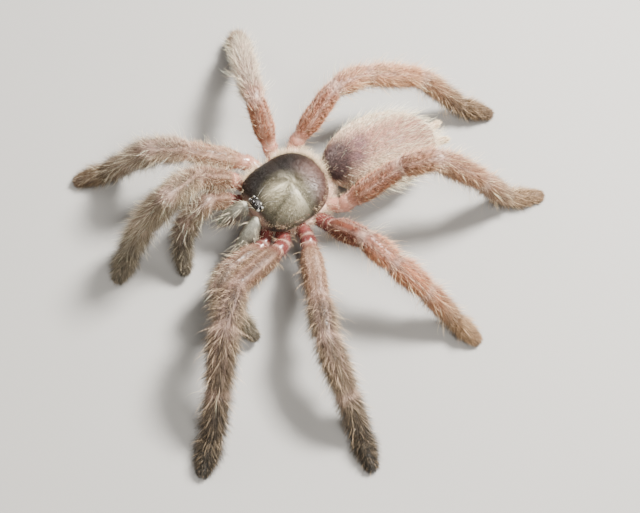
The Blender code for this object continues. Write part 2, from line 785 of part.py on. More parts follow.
def add_body_rear():
    """The stalk, the abdomen and its two long spinnerets."""
    ends = [Vector(PEDICEL_START), Vector(PEDICEL_END)]
    add_part("pedicel", tube(ends, [PEDICEL_RADIUS] * 2), "hip")
    bm = ball(16, 10, abdomen_point)
    cut_off(bm, (0.0, 0.1 * MM, 0.0), (0.0, -1.0, 0.0))
    bmesh.ops.transform(bm, matrix=abdomen_place(), verts=bm.verts)
    add_part("abdomen", bm, "abdomen")
    COATS["abdomen"] = abdomen_rows()
    place = abdomen_place()
    for side_name, side in SIDES.items():
        spread = math.radians(SPINNERET_SPREAD) * side
        root = Vector((side * SPINNERET_OFFSET, ABDOMEN_LENGTH - SPINNERET_SINK, -0.6 * MM))
        out = Vector((math.sin(spread), math.cos(spread), 0.12)).normalized()
        points = [root + out * SPINNERET_LENGTH * step for step in (0.1, 0.5, 0.85, 1.0)]
        radii = [SPINNERET_RADIUS * size for size in (1.0, 1.0, 0.8, 0.4)]
        bm = tube([place @ point for point in points], radii)
        add_part(f"spinneret_{side_name}", bm, "abdomen")


def add_jaws():
    """The two chelicerae under the shield's front edge, and the folded fangs."""
    for side_name, side in SIDES.items():
        along = heading(JAW_YAW, -JAW_DROP, side)
        across = along.cross(Vector((0.0, 0.0, 1.0))).normalized()
        upward = across.cross(along).normalized()
        root = Vector((side * JAW_ROOT[0], JAW_ROOT[1], JAW_ROOT[2]))
        middle = root + along * JAW_LENGTH * 0.42

        def jaw_point(x, y, z, along=along, across=across, upward=upward, middle=middle):
            slim = 1.0 - 0.14 * x
            return (
                middle
                + along * (x * JAW_LENGTH * 0.58)
                + across * (y * JAW_HALF_WIDTH * slim)
                + upward * (z * JAW_HALF_HEIGHT * slim)
            )

        bm = ball(14, 8, jaw_point)
        cut_off(bm, (0.0, JAW_BACK_Y, 0.0), (0.0, 1.0, 0.0))
        add_part(f"chelicera_{side_name}", bm, "jaw")
        start = root + along * JAW_LENGTH * 0.86 - upward * (JAW_HALF_HEIGHT * 0.86 + GAP)
        back = -along * 0.9 - upward * 0.12 - across * 0.1 * side
        points = []
        for step in (0.0, 0.3, 0.65, 1.0):
            sag = math.sin(math.pi * step) * 0.5 * MM
            points.append(start + back * FANG_LENGTH * step - upward * sag)
        radii = [FANG_RADIUS * size for size in (1.0, 0.9, 0.6, 0.3)]
        add_part(f"fang_{side_name}", tube(points, radii), "fang")


def rest_on_origin():
    """Hangs the parts on one empty, placed so that the origin is the box's bottom centre."""
    bpy.context.view_layer.update()
    corners = [
        part.matrix_world @ Vector(corner) for part in PARTS.objects for corner in part.bound_box
    ]
    middle_x = (min(c.x for c in corners) + max(c.x for c in corners)) / 2
    middle_y = (min(c.y for c in corners) + max(c.y for c in corners)) / 2
    root = bpy.data.objects.new("tarantula_root", None)
    root.location = (-middle_x, -middle_y, 0.0)
    for piece in [*PARTS.objects, *CUTTERS.objects]:
        piece.parent = root
    PARTS.objects.link(root)


clear_scene()
PARTS = new_collection("tarantula")
CUTTERS = new_collection("cutters", hidden=True)
COATS = {}
DRAW = random.Random(SEED)
add_body_front()
add_body_rear()
add_jaws()
for side_name in SIDES:
    add_palp(side_name)
    for pair in (1, 2, 3, 4):
        add_leg(side_name, pair)
grow_coats()
rest_on_origin()
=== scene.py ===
"""Looks of the purple tree tarantula: skin, fur, bristles, shell plates, eyes and light.

All shapes are worked out in millimetres in the animal's own frame, in which the head
looks along -Y, its left side is +X and the floor is z = 0. Meshes are written in metres
round the frame's origin.
"""

import logging
import math
from dataclasses import dataclass, field
from enum import Enum

import bpy
import numpy as np
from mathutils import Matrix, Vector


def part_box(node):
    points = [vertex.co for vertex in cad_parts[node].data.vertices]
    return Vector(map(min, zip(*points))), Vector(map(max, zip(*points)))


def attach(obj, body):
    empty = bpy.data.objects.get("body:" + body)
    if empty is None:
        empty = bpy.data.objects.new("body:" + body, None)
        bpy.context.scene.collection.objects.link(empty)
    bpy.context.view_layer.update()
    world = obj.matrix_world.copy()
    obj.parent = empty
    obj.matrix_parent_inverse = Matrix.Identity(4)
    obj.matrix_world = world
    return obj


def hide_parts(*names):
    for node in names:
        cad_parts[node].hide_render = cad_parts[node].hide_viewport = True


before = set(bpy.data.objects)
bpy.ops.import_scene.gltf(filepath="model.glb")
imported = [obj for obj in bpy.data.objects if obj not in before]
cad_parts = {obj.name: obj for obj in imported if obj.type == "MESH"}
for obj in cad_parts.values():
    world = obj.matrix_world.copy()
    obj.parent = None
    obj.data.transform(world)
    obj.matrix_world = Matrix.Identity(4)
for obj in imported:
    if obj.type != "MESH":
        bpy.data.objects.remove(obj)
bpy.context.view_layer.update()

LOG = logging.getLogger("tarantula")
MM = 0.001
SEED = 11
MARKING = "Marking"
BAKE_MAP = "OFBake"
MOTTLE_DETAIL = 3.0
RELIEF_DETAIL = 4.0
RELIEF_DEPTH = 0.15
PATCH = 0.003
PLAN_SPAN = 20.0
FLOOR_CLEARANCE = 0.03
NUDGE = 0.01
TINY = 1e-9
FULL_TURN = 2 * math.pi
QUARTER_TURN = math.pi / 2
SIDES = {"left": 1, "right": -1}
UP = np.array([0.0, 0.0, 1.0])
REARWARD = np.array([0.0, 1.0, 0.0])
Array = np.ndarray
Pair = tuple[float, float]
Triple = tuple[float, float, float]


def tint(red: float, green: float, blue: float) -> Array:
    """A linear colour from screen values of 0 to 255.

    Args:
        red: screen value of red.
        green: screen value of green.
        blue: screen value of blue.

    Returns:
        The three linear values.
    """
    screen = np.array([red, green, blue]) / 255.0
    return np.where(screen <= 0.04045, screen / 12.92, ((screen + 0.055) / 1.055) ** 2.4)


class Tone:
    """The animal's colours, each named for where it shows."""

    HIP = tint(100, 50, 46)
    PALE_HIP = tint(176, 126, 108)
    RING = tint(220, 186, 166)
    CREAM = tint(246, 228, 196)
    BUFF = tint(222, 192, 156)
    STRAW = tint(238, 208, 168)
    FRONT_THIGH = tint(122, 92, 70)
    FRONT_SHIN = tint(100, 86, 68)
    FRONT_FOOT = tint(58, 52, 42)
    REAR_THIGH = tint(154, 100, 70)
    REAR_SHIN = tint(172, 124, 90)
    RED_THIGH = tint(128, 70, 46)
    RED_SHIN = tint(200, 132, 94)
    REAR_FOOT = tint(112, 88, 64)
    TAN_THIGH = tint(186, 146, 116)
    TAN_SHIN = tint(164, 138, 114)
    # Whitish grey shin tone of the third right leg.
    WHITISH_SHIN = tint(202, 180, 158)
    PAD = tint(34, 29, 27)
    VIOLET = tint(104, 70, 84)
    SHELL_EDGE = tint(20, 14, 11)
    SHELL_REAR = tint(74, 50, 42)
    # Grey-green down of the crown; its lightness is partly painted sheen.
    SHELL_CROWN = tint(146, 138, 114)
    # Pale radial streaks: partly pale lines of down, partly painted sheen.
    SHELL_STREAK_AND_SHEEN = tint(224, 216, 194)
    CLYPEUS = tint(170, 138, 126)
    JAW = tint(190, 188, 173)
    EYE = tint(10, 9, 10)
    # Pearly eye colour: partly the eyes' own, partly a painted reflection of light.
    PEARL = tint(150, 149, 142)
    MAROON = tint(84, 20, 18)
    FANG = tint(30, 14, 12)
    BELLY = tint(170, 124, 104)
    BELLY_PALE = tint(218, 186, 158)
    BELLY_PATCH = tint(66, 40, 36)
    UNDERSIDE = tint(58, 44, 36)


def unit(vectors: Array) -> Array:
    """Vectors along the last axis brought to length one."""
    return vectors / np.maximum(np.linalg.norm(vectors, axis=-1, keepdims=True), 1e-12)


def blend(first: Array, second: Array, share: Array) -> Array:
    """Rows that go from the first colour to the second by a share for each row.

    Args:
        first: one colour, or one for each row.
        second: one colour, or one for each row.
        share: 0 for the first and 1 for the second.

    Returns:
        One colour for each row.
    """
    share = np.clip(share, 0.0, 1.0)[:, None]
    return first * (1.0 - share) + second * share


def bell(distance: Array, width: float) -> Array:
    """A bump of height 1 that falls off as exp(-(distance / width)^2)."""
    return np.exp(-((distance / width) ** 2))


def smooth_step(values: Array, low: float, high: float) -> Array:
    """Goes from 0 at low to 1 at high as 3t^2 - 2t^3."""
    t = np.clip((values - low) / (high - low), 0.0, 1.0)
    return t * t * (3.0 - 2.0 * t)


def heading(yaw: float, pitch: float, side: int = 1) -> Array:
    """The direction (side cos(pitch) sin(yaw), -cos(pitch) cos(yaw), sin(pitch)).

    Args:
        yaw: degrees from straight ahead towards the side.
        pitch: degrees upward.
        side: 1 for left and -1 for right.

    Returns:
        The direction, of length one.
    """
    turn = math.radians(yaw)
    rise = math.radians(pitch)
    level = math.cos(rise)
    return np.array([side * level * math.sin(turn), -level * math.cos(turn), math.sin(rise)])


def flattened(direction: Array, outward: Array, share: float = 1.0) -> Array:
    """Directions laid along the skin: unit(direction - share (direction . outward) outward).

    Args:
        direction: one direction, or one for each row.
        outward: the skin's outward direction for each row.
        share: how much of the outward part is taken away.

    Returns:
        One direction of length one for each row.
    """
    off = np.sum(direction * outward, axis=1, keepdims=True)
    return unit(direction - outward * off * share)


def random_rays(rng: np.random.Generator, count: int, low: float, high: float) -> Array:
    """Random directions, with heights spread evenly between two bounds.

    Args:
        rng: the seeded source of chance.
        count: how many directions.
        low: the least height, from -1 to 1.
        high: the greatest height.

    Returns:
        The directions, each of length one.
    """
    turn = rng.uniform(0.0, FULL_TURN, count)
    height = rng.uniform(low, high, count)
    flat = np.sqrt(1.0 - height**2)
    return np.stack([flat * np.cos(turn), flat * np.sin(turn), height], axis=1)


def plan_places(points: Array) -> Array:
    """Places on a level plan of the body, with its middle at a half."""
    return 0.5 + points[:, :2] / PLAN_SPAN


def body_origin() -> Array:
    """The animal's own origin in the frame: the middle of the carapace, on the floor."""
    low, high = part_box("carapace")
    return np.array([(low[0] + high[0]) / 2, (low[1] + high[1]) / 2, 0.0])


ORIGIN = body_origin()


@dataclass
class Surface:
    """A mesh as arrays: points in millimetres, faces by corner count, colours and patches."""

    points: Array
    faces: list[Array]
    colours: Array
    patches: Array | None = None

    def joined(self, other: "Surface") -> "Surface":
        """This surface and another one as a single surface.

        Args:
            other: the surface to add.

        Returns:
            The two as one.
        """
        offset = len(self.points)
        patches = None
        if self.patches is not None and other.patches is not None:
            patches = np.concatenate([self.patches, other.patches])
        return Surface(
            np.concatenate([self.points, other.points]),
            [*self.faces, *[block + offset for block in other.faces]],
            np.concatenate([self.colours, other.colours]),
            patches,
        )


def write_surface(name: str, surface: Surface, material: bpy.types.Material) -> bpy.types.Object:
    """Puts a surface into a named object at the origin.

    Args:
        name: the piece's name.
        surface: the arrays to write.
        material: the finish of the whole piece.

    Returns:
        The new object, linked to the scene.
    """
    mesh = bpy.data.meshes.new(name)
    points = surface.points * MM + ORIGIN
    points[:, 2] = np.maximum(points[:, 2], FLOOR_CLEARANCE * MM)
    loops = np.concatenate([block.ravel() for block in surface.faces])
    sizes = np.concatenate([np.full(len(block), block.shape[1]) for block in surface.faces])
    starts = np.concatenate([[0], np.cumsum(sizes)[:-1]])
    mesh.vertices.add(len(points))
    mesh.vertices.foreach_set("co", points.astype(np.float32).ravel())
    mesh.loops.add(len(loops))
    mesh.loops.foreach_set("vertex_index", loops.astype(np.int32))
    mesh.polygons.add(len(sizes))
    mesh.polygons.foreach_set("loop_start", starts.astype(np.int32))
    mesh.update(calc_edges=True)
    mesh.shade_smooth()
    marking = mesh.color_attributes.new(name=MARKING, type="FLOAT_COLOR", domain="POINT")
    rgba = np.ones((len(points), 4), dtype=np.float32)
    rgba[:, : surface.colours.shape[1]] = np.clip(surface.colours, 0.0, 1.0)
    marking.data.foreach_set("color", rgba.ravel())
    if surface.patches is not None:
        layer = mesh.uv_layers.new(name=BAKE_MAP)
        layer.data.foreach_set("uv", surface.patches[loops].astype(np.float32).ravel())
    mesh.materials.append(material)
    piece = bpy.data.objects.new(name, mesh)
    bpy.context.scene.collection.objects.link(piece)
    LOG.info("%s: %d points, %d faces", name, len(points), len(sizes))
    return piece


def closed_grid(grid: Array, colours: Array) -> Surface:
    """A closed skin from a grid of rows by columns that wraps round in its columns.

    The first and the last row each stand for one pole: their mean becomes a single point,
    joined to the next row by a fan. Rows run along the form and columns run round it,
    anticlockwise as seen from the first pole's outside.

    Args:
        grid: points, rows by columns by 3.
        colours: colours, rows by columns by 3, or by 4 where the last one is the dullness.

    Returns:
        The closed surface.
    """
    rows, columns = grid.shape[:2]
    inner = grid[1:-1].reshape(-1, 3)
    tones = colours[1:-1].reshape(-1, colours.shape[-1])
    points = np.concatenate([inner, [grid[0].mean(0)], [grid[-1].mean(0)]])
    tones = np.concatenate([tones, [colours[0].mean(0)], [colours[-1].mean(0)]])
    row, column = np.meshgrid(np.arange(rows - 3), np.arange(columns), indexing="ij")
    here = (row * columns + column).ravel()
    beside = (row * columns + (column + 1) % columns).ravel()
    quads = np.stack([here, here + columns, beside + columns, beside], axis=1)
    ring = np.arange(columns)
    after = (ring + 1) % columns
    last = (rows - 3) * columns
    first_pole = np.full(columns, len(inner))
    first_fan = np.stack([first_pole, ring, after], axis=1)
    last_fan = np.stack([first_pole + 1, last + after, last + ring], axis=1)
    return Surface(points, [quads, np.concatenate([first_fan, last_fan])], tones)


@dataclass
class Roots:
    """Where hairs stand: points, outward and lie directions, places on the unwrap, colours."""

    points: Array
    outward: Array
    lie: Array
    places: Array
    colours: Array

    def __len__(self) -> int:
        """How many roots there are."""
        return len(self.points)

    def some(self, keep: Array) -> "Roots":
        """The roots that a mask or index keeps.

        Args:
            keep: a mask, or the rows' numbers.

        Returns:
            Those roots.
        """
        return Roots(
            self.points[keep],
            self.outward[keep],
            self.lie[keep],
            self.places[keep],
            self.colours[keep],
        )


@dataclass(frozen=True)
class HairCut:
    """The cut of one kind of hair, in millimetres and degrees."""

    length: Pair
    width: float
    lift: Pair
    droop: tuple[float, ...] = (1.0,)
    stretches: tuple[float, ...] = (1.0,)
    sway: float = 0.2
    sink: float = 0.08
    root_shade: float = 0.7
    tip_shade: float = 1.15
    unevenness: float = 0.18

    def grow(self, roots: Roots, rng: np.random.Generator, scale: Array | float = 1.0) -> Surface:
        """Closed three-sided hairs that rise at a lift from the skin and bend to its lie.

        Each hair is a chain of stretches: stretch k runs its share of the length along
        cos(lift * droop_k) lie + sin(lift * droop_k) outward + sway across. Its section
        is a triangle whose width falls in a straight line to a pointed tip.

        Args:
            roots: where the hairs stand.
            rng: the seeded source of chance.
            scale: a factor on the length, for all hairs or each.

        Returns:
            All hairs as one surface, with a small patch of the unwrap for each.
        """
        count = len(roots)
        rings = len(self.stretches)
        length = rng.uniform(*self.length, count) * scale
        lift = np.radians(rng.uniform(*self.lift, count))
        sway = rng.normal(0.0, self.sway, count)
        shade = 1.0 + rng.normal(0.0, self.unevenness, count)
        across = unit(np.cross(roots.lie, roots.outward))
        patch_middle = PATCH + (1.0 - 2.0 * PATCH) * roots.places
        centre = roots.points - roots.outward * self.sink
        at = roots.points
        points = []
        tones = []
        places = []
        done = 0.0
        for index, (stretch, droop) in enumerate(zip(self.stretches, self.droop)):
            angle = (lift * droop)[:, None]
            step = unit(
                roots.lie * np.cos(angle)
                + roots.outward * np.sin(angle)
                + across * (sway * (1 + index))[:, None]
            )
            ridge = unit(np.cross(across, step))
            half = (self.width * (1.0 - done) / 2) * np.ones((count, 1))
            corners = (
                centre - across * half - ridge * half * 0.5,
                centre + across * half - ridge * half * 0.5,
                centre + ridge * half,
            )
            # Darker roots, paler tips: partly the hairs' own colour, partly painted shade inside
            # the coat and painted highlight at the tips.
            level = self.root_shade + (self.tip_shade - self.root_shade) * done
            for side, corner in zip((-0.5, 0.5, 0.0), corners):
                points.append(corner)
                tones.append(roots.colours * (shade * level)[:, None])
                places.append(patch_middle + np.array([side * PATCH, (done - 0.5) * PATCH]))
            at = at + step * (length * stretch)[:, None]
            centre = at
            done += stretch
        points.append(at)
        tones.append(roots.colours * (shade * self.tip_shade)[:, None])
        places.append(patch_middle + np.array([0.0, 0.5 * PATCH]))
        corners_each = 3 * rings + 1
        base = (np.arange(count) * corners_each)[:, None]
        quads = [
            (3 * ring + side, 3 * ring + 3 + side, 3 * ring + 3 + after, 3 * ring + after)
            for ring in range(rings - 1)
            for side, after in ((0, 1), (1, 2), (2, 0))
        ]
        end = 3 * rings
        tip = [(end - 3, end, end - 2), (end - 2, end, end - 1), (end - 1, end, end - 3)]
        blocks = [np.concatenate([base + np.array(fan) for fan in [(0, 1, 2), *tip]])]
        if quads:
            blocks.append(np.concatenate([base + np.array(quad) for quad in quads]))
        return Surface(
            np.stack(points, axis=1).reshape(-1, 3),
            blocks,
            np.stack(tones, axis=1).reshape(-1, 3),
            np.clip(np.stack(places, axis=1).reshape(-1, 2), 0.0, 1.0),
        )


THIRDS = (0.34, 0.33, 0.33)


class Hair(Enum):
    """The kinds of hair on the animal."""

    NAP = HairCut(
        (0.7, 1.4), 0.08, (12.0, 38.0), sway=0.22, root_shade=0.6, tip_shade=1.3, unevenness=0.34
    )
    FOOT_NAP = HairCut((0.7, 1.2), 0.11, (14.0, 34.0), sway=0.2, root_shade=0.5, tip_shade=1.4)
    BELLY_NAP = HairCut(
        (0.5, 0.95), 0.075, (8.0, 26.0), sway=0.24, root_shade=0.45, tip_shade=1.45, unevenness=0.4
    )
    SHELL_DOWN = HairCut(
        (0.35, 0.85), 0.045, (4.0, 12.0), sway=0.24, sink=0.03, root_shade=0.8, unevenness=0.35
    )
    JAW_NAP = HairCut(
        (0.3, 0.6), 0.05, (5.0, 16.0), sway=0.2, root_shade=0.7, tip_shade=1.3, unevenness=0.3
    )
    PLUME = HairCut(
        (1.1, 2.4), 0.065, (24.0, 62.0), sway=0.24, sink=0.1, root_shade=0.6, unevenness=0.3
    )
    BRISTLE = HairCut(
        (2.2, 5.6),
        0.07,
        (34.0, 80.0),
        droop=(1.0, 0.8, 0.5),
        stretches=THIRDS,
        sway=0.16,
        sink=0.15,
        root_shade=1.0,
        tip_shade=1.5,
    )
    BELLY_BRISTLE = HairCut(
        (1.8, 4.8),
        0.075,
        (14.0, 52.0),
        droop=(1.0, 0.85, 0.7),
        stretches=THIRDS,
        sway=0.16,
        sink=0.15,
        root_shade=1.0,
        tip_shade=1.5,
    )
    FRINGE = HairCut(
        (0.7, 2.2),
        0.05,
        (-8.0, 30.0),
        droop=(1.0, 0.75, 0.5),
        stretches=THIRDS,
        sway=0.25,
        sink=0.15,
        root_shade=0.9,
        tip_shade=1.2,
    )
    FUZZ = HairCut(
        (0.6, 1.9),
        0.05,
        (25.0, 75.0),
        droop=(1.0, 0.6),
        stretches=(0.5, 0.5),
        sway=0.3,
        sink=0.12,
        root_shade=0.8,
        tip_shade=1.25,
        unevenness=0.3,
    )
    BRUSH = HairCut(
        (1.0, 2.0),
        0.12,
        (20.0, 60.0),
        droop=(1.0, 0.8, 0.5),
        stretches=THIRDS,
        sway=0.15,
        sink=0.15,
        root_shade=0.7,
        tip_shade=1.2,
    )


@dataclass(frozen=True)
class CoatFinish:
    """The finish of a piece made of hairs: its own marking, lightly mottled, with sheen."""

    name: str
    roughness: float = 0.5
    mottle: float = 0.25
    mottle_scale: float = 900.0
    metallic: float = 0.0
    sheen: float = 0.04
    sheen_roughness: float = 0.4

    def material(self) -> bpy.types.Material:
        """The material with this finish.

        Returns:
            A new material.
        """
        made, shader, nodes = new_material(self.name)
        colour = mottled_marking(nodes, self.mottle_scale, self.mottle)
        nodes.links.new(colour, shader.inputs["Base Color"])
        shader.inputs["Roughness"].default_value = self.roughness
        shader.inputs["Metallic"].default_value = self.metallic
        shader.inputs["Sheen Weight"].default_value = self.sheen
        shader.inputs["Sheen Roughness"].default_value = self.sheen_roughness
        return made


@dataclass(frozen=True)
class SkinFinish:
    """The finish of bare or furred skin and shell: its marking, mottled, with fine relief."""

    name: str
    roughness: float = 0.5
    mottle: float = 0.3
    mottle_scale: float = 500.0
    relief: float = 0.35
    relief_scale: float = 2600.0
    metallic: float = 0.0
    coat: float = 0.0
    coat_roughness: float = 0.15
    sheen: float = 0.0
    dull_rise: float = 0.0

    def material(self) -> bpy.types.Material:
        """The material with this finish.

        Where there is a dull rise, roughness = roughness + dull_rise * dullness, the
        dullness being the marking's fourth number.

        Returns:
            A new material.
        """
        made, shader, nodes = new_material(self.name)
        colour = mottled_marking(nodes, self.mottle_scale, self.mottle)
        if self.dull_rise:
            marking = nodes.nodes.new("ShaderNodeAttribute")
            marking.attribute_name = MARKING
            rougher = nodes.nodes.new("ShaderNodeMath")
            rougher.operation = "MULTIPLY_ADD"
            rougher.inputs[1].default_value = self.dull_rise
            rougher.inputs[2].default_value = self.roughness
            nodes.links.new(marking.outputs["Alpha"], rougher.inputs[0])
            nodes.links.new(rougher.outputs[0], shader.inputs["Roughness"])
        nodes.links.new(colour, shader.inputs["Base Color"])
        relief = nodes.nodes.new("ShaderNodeGroup")
        relief.node_tree = fine_relief()
        relief.inputs["Scale"].default_value = self.relief_scale
        relief.inputs["Strength"].default_value = self.relief
        nodes.links.new(relief.outputs["Normal"], shader.inputs["Normal"])
        shader.inputs["Roughness"].default_value = self.roughness
        shader.inputs["Metallic"].default_value = self.metallic
        shader.inputs["Coat Weight"].default_value = self.coat
        shader.inputs["Coat Roughness"].default_value = self.coat_roughness
        shader.inputs["Sheen Weight"].default_value = self.sheen
        return made


@dataclass(frozen=True)
class EyeFinish:
    """Wet gloss with a clear coat over the eyes' own colours."""

    name: str = "eye_gloss"
    mottle: float = 0.2
    mottle_scale: float = 3000.0
    roughness: float = 0.06
    coat: float = 1.0
    coat_roughness: float = 0.02

    def material(self) -> bpy.types.Material:
        """The material with this finish.

        Returns:
            A new material.
        """
        made, shader, nodes = new_material(self.name)
        colour = mottled_marking(nodes, self.mottle_scale, self.mottle)
        nodes.links.new(colour, shader.inputs["Base Color"])
        shader.inputs["Roughness"].default_value = self.roughness
        shader.inputs["Coat Weight"].default_value = self.coat
        shader.inputs["Coat Roughness"].default_value = self.coat_roughness
        return made


def new_material(name: str) -> tuple[bpy.types.Material, bpy.types.Node, bpy.types.NodeTree]:
    """An empty Principled material.

    Args:
        name: the material's name.

    Returns:
        The material, its shader node and its node tree.
    """
    made = bpy.data.materials.new(name)
    made.use_nodes = True
    return made, made.node_tree.nodes["Principled BSDF"], made.node_tree


def mottled_marking(
    nodes: bpy.types.NodeTree, scale: float, strength: float
) -> bpy.types.NodeSocket:
    """The piece's marking colour, made lighter and darker in small patches.

    Args:
        nodes: the material's node tree.
        scale: how fine the patches are, per metre.
        strength: how far the colour goes up and down.

    Returns:
        The colour output.
    """
    marking = nodes.nodes.new("ShaderNodeAttribute")
    marking.attribute_name = MARKING
    mottle = nodes.nodes.new("ShaderNodeGroup")
    mottle.node_tree = mottle_group()
    mottle.inputs["Scale"].default_value = scale
    mottle.inputs["Strength"].default_value = strength
    nodes.links.new(marking.outputs["Color"], mottle.inputs["Colour"])
    return mottle.outputs["Colour"]


def mottle_group() -> bpy.types.NodeTree:
    """The shared group that multiplies a colour by 1 + strength * (2 noise - 1).

    Returns:
        The group, made at the first call.
    """
    found = bpy.data.node_groups.get("mottle")
    if found:
        return found
    group = bpy.data.node_groups.new("mottle", "ShaderNodeTree")
    group.interface.new_socket("Colour", in_out="INPUT", socket_type="NodeSocketColor")
    group.interface.new_socket("Scale", in_out="INPUT", socket_type="NodeSocketFloat")
    group.interface.new_socket("Strength", in_out="INPUT", socket_type="NodeSocketFloat")
    group.interface.new_socket("Colour", in_out="OUTPUT", socket_type="NodeSocketColor")
    enter = group.nodes.new("NodeGroupInput")
    leave = group.nodes.new("NodeGroupOutput")
    place = group.nodes.new("ShaderNodeTexCoord")
    noise = group.nodes.new("ShaderNodeTexNoise")
    noise.inputs["Detail"].default_value = MOTTLE_DETAIL
    centred = group.nodes.new("ShaderNodeMath")
    centred.operation = "MULTIPLY_ADD"
    centred.inputs[1].default_value = 2.0
    centred.inputs[2].default_value = -1.0
    factor = group.nodes.new("ShaderNodeMath")
    factor.operation = "MULTIPLY_ADD"
    factor.inputs[2].default_value = 1.0
    scaled = group.nodes.new("ShaderNodeVectorMath")
    scaled.operation = "SCALE"
    group.links.new(place.outputs["Object"], noise.inputs["Vector"])
    group.links.new(enter.outputs["Scale"], noise.inputs["Scale"])
    group.links.new(noise.outputs["Fac"], centred.inputs[0])
    group.links.new(centred.outputs[0], factor.inputs[0])
    group.links.new(enter.outputs["Strength"], factor.inputs[1])
    group.links.new(enter.outputs["Colour"], scaled.inputs[0])
    group.links.new(factor.outputs[0], scaled.inputs["Scale"])
    group.links.new(scaled.outputs["Vector"], leave.inputs["Colour"])
    return group


def fine_relief() -> bpy.types.NodeTree:
    """The shared group that gives a normal bent by fine noise.

    Returns:
        The group, made at the first call.
    """
    found = bpy.data.node_groups.get("fine_relief")
    if found:
        return found
    group = bpy.data.node_groups.new("fine_relief", "ShaderNodeTree")
    group.interface.new_socket("Scale", in_out="INPUT", socket_type="NodeSocketFloat")
    group.interface.new_socket("Strength", in_out="INPUT", socket_type="NodeSocketFloat")
    group.interface.new_socket("Normal", in_out="OUTPUT", socket_type="NodeSocketVector")
    enter = group.nodes.new("NodeGroupInput")
    leave = group.nodes.new("NodeGroupOutput")
    place = group.nodes.new("ShaderNodeTexCoord")
    noise = group.nodes.new("ShaderNodeTexNoise")
    noise.inputs["Detail"].default_value = RELIEF_DETAIL
    bump = group.nodes.new("ShaderNodeBump")
    bump.inputs["Distance"].default_value = RELIEF_DEPTH * MM
    group.links.new(place.outputs["Object"], noise.inputs["Vector"])
    group.links.new(enter.outputs["Scale"], noise.inputs["Scale"])
    group.links.new(noise.outputs["Fac"], bump.inputs["Height"])
    group.links.new(enter.outputs["Strength"], bump.inputs["Strength"])
    group.links.new(bump.outputs["Normal"], leave.inputs["Normal"])
    return group


class Slot(Enum):
    """The record's material slots, one passed with each piece."""

    SHIELD = "shield"
    HIP = "hip"
    LEG = "leg"
    ABDOMEN = "abdomen"
    JAW = "jaw"
    FANG = "fang"
    EYE = "eye"


def add_piece(
    name: str, surface: Surface, material: bpy.types.Material, slot: Slot, *nodes: str
) -> None:
    """Writes a piece, gives it its body and hides the CAD nodes that it stands for.

    Args:
        name: the piece's name.
        surface: its arrays.
        material: its finish.
        slot: the record's slot; not used.
        nodes: the CAD nodes, if any, that it replaces.
    """
    piece = write_surface(name, surface, material)
    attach(piece, "root")
    if nodes:
        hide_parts(*nodes)


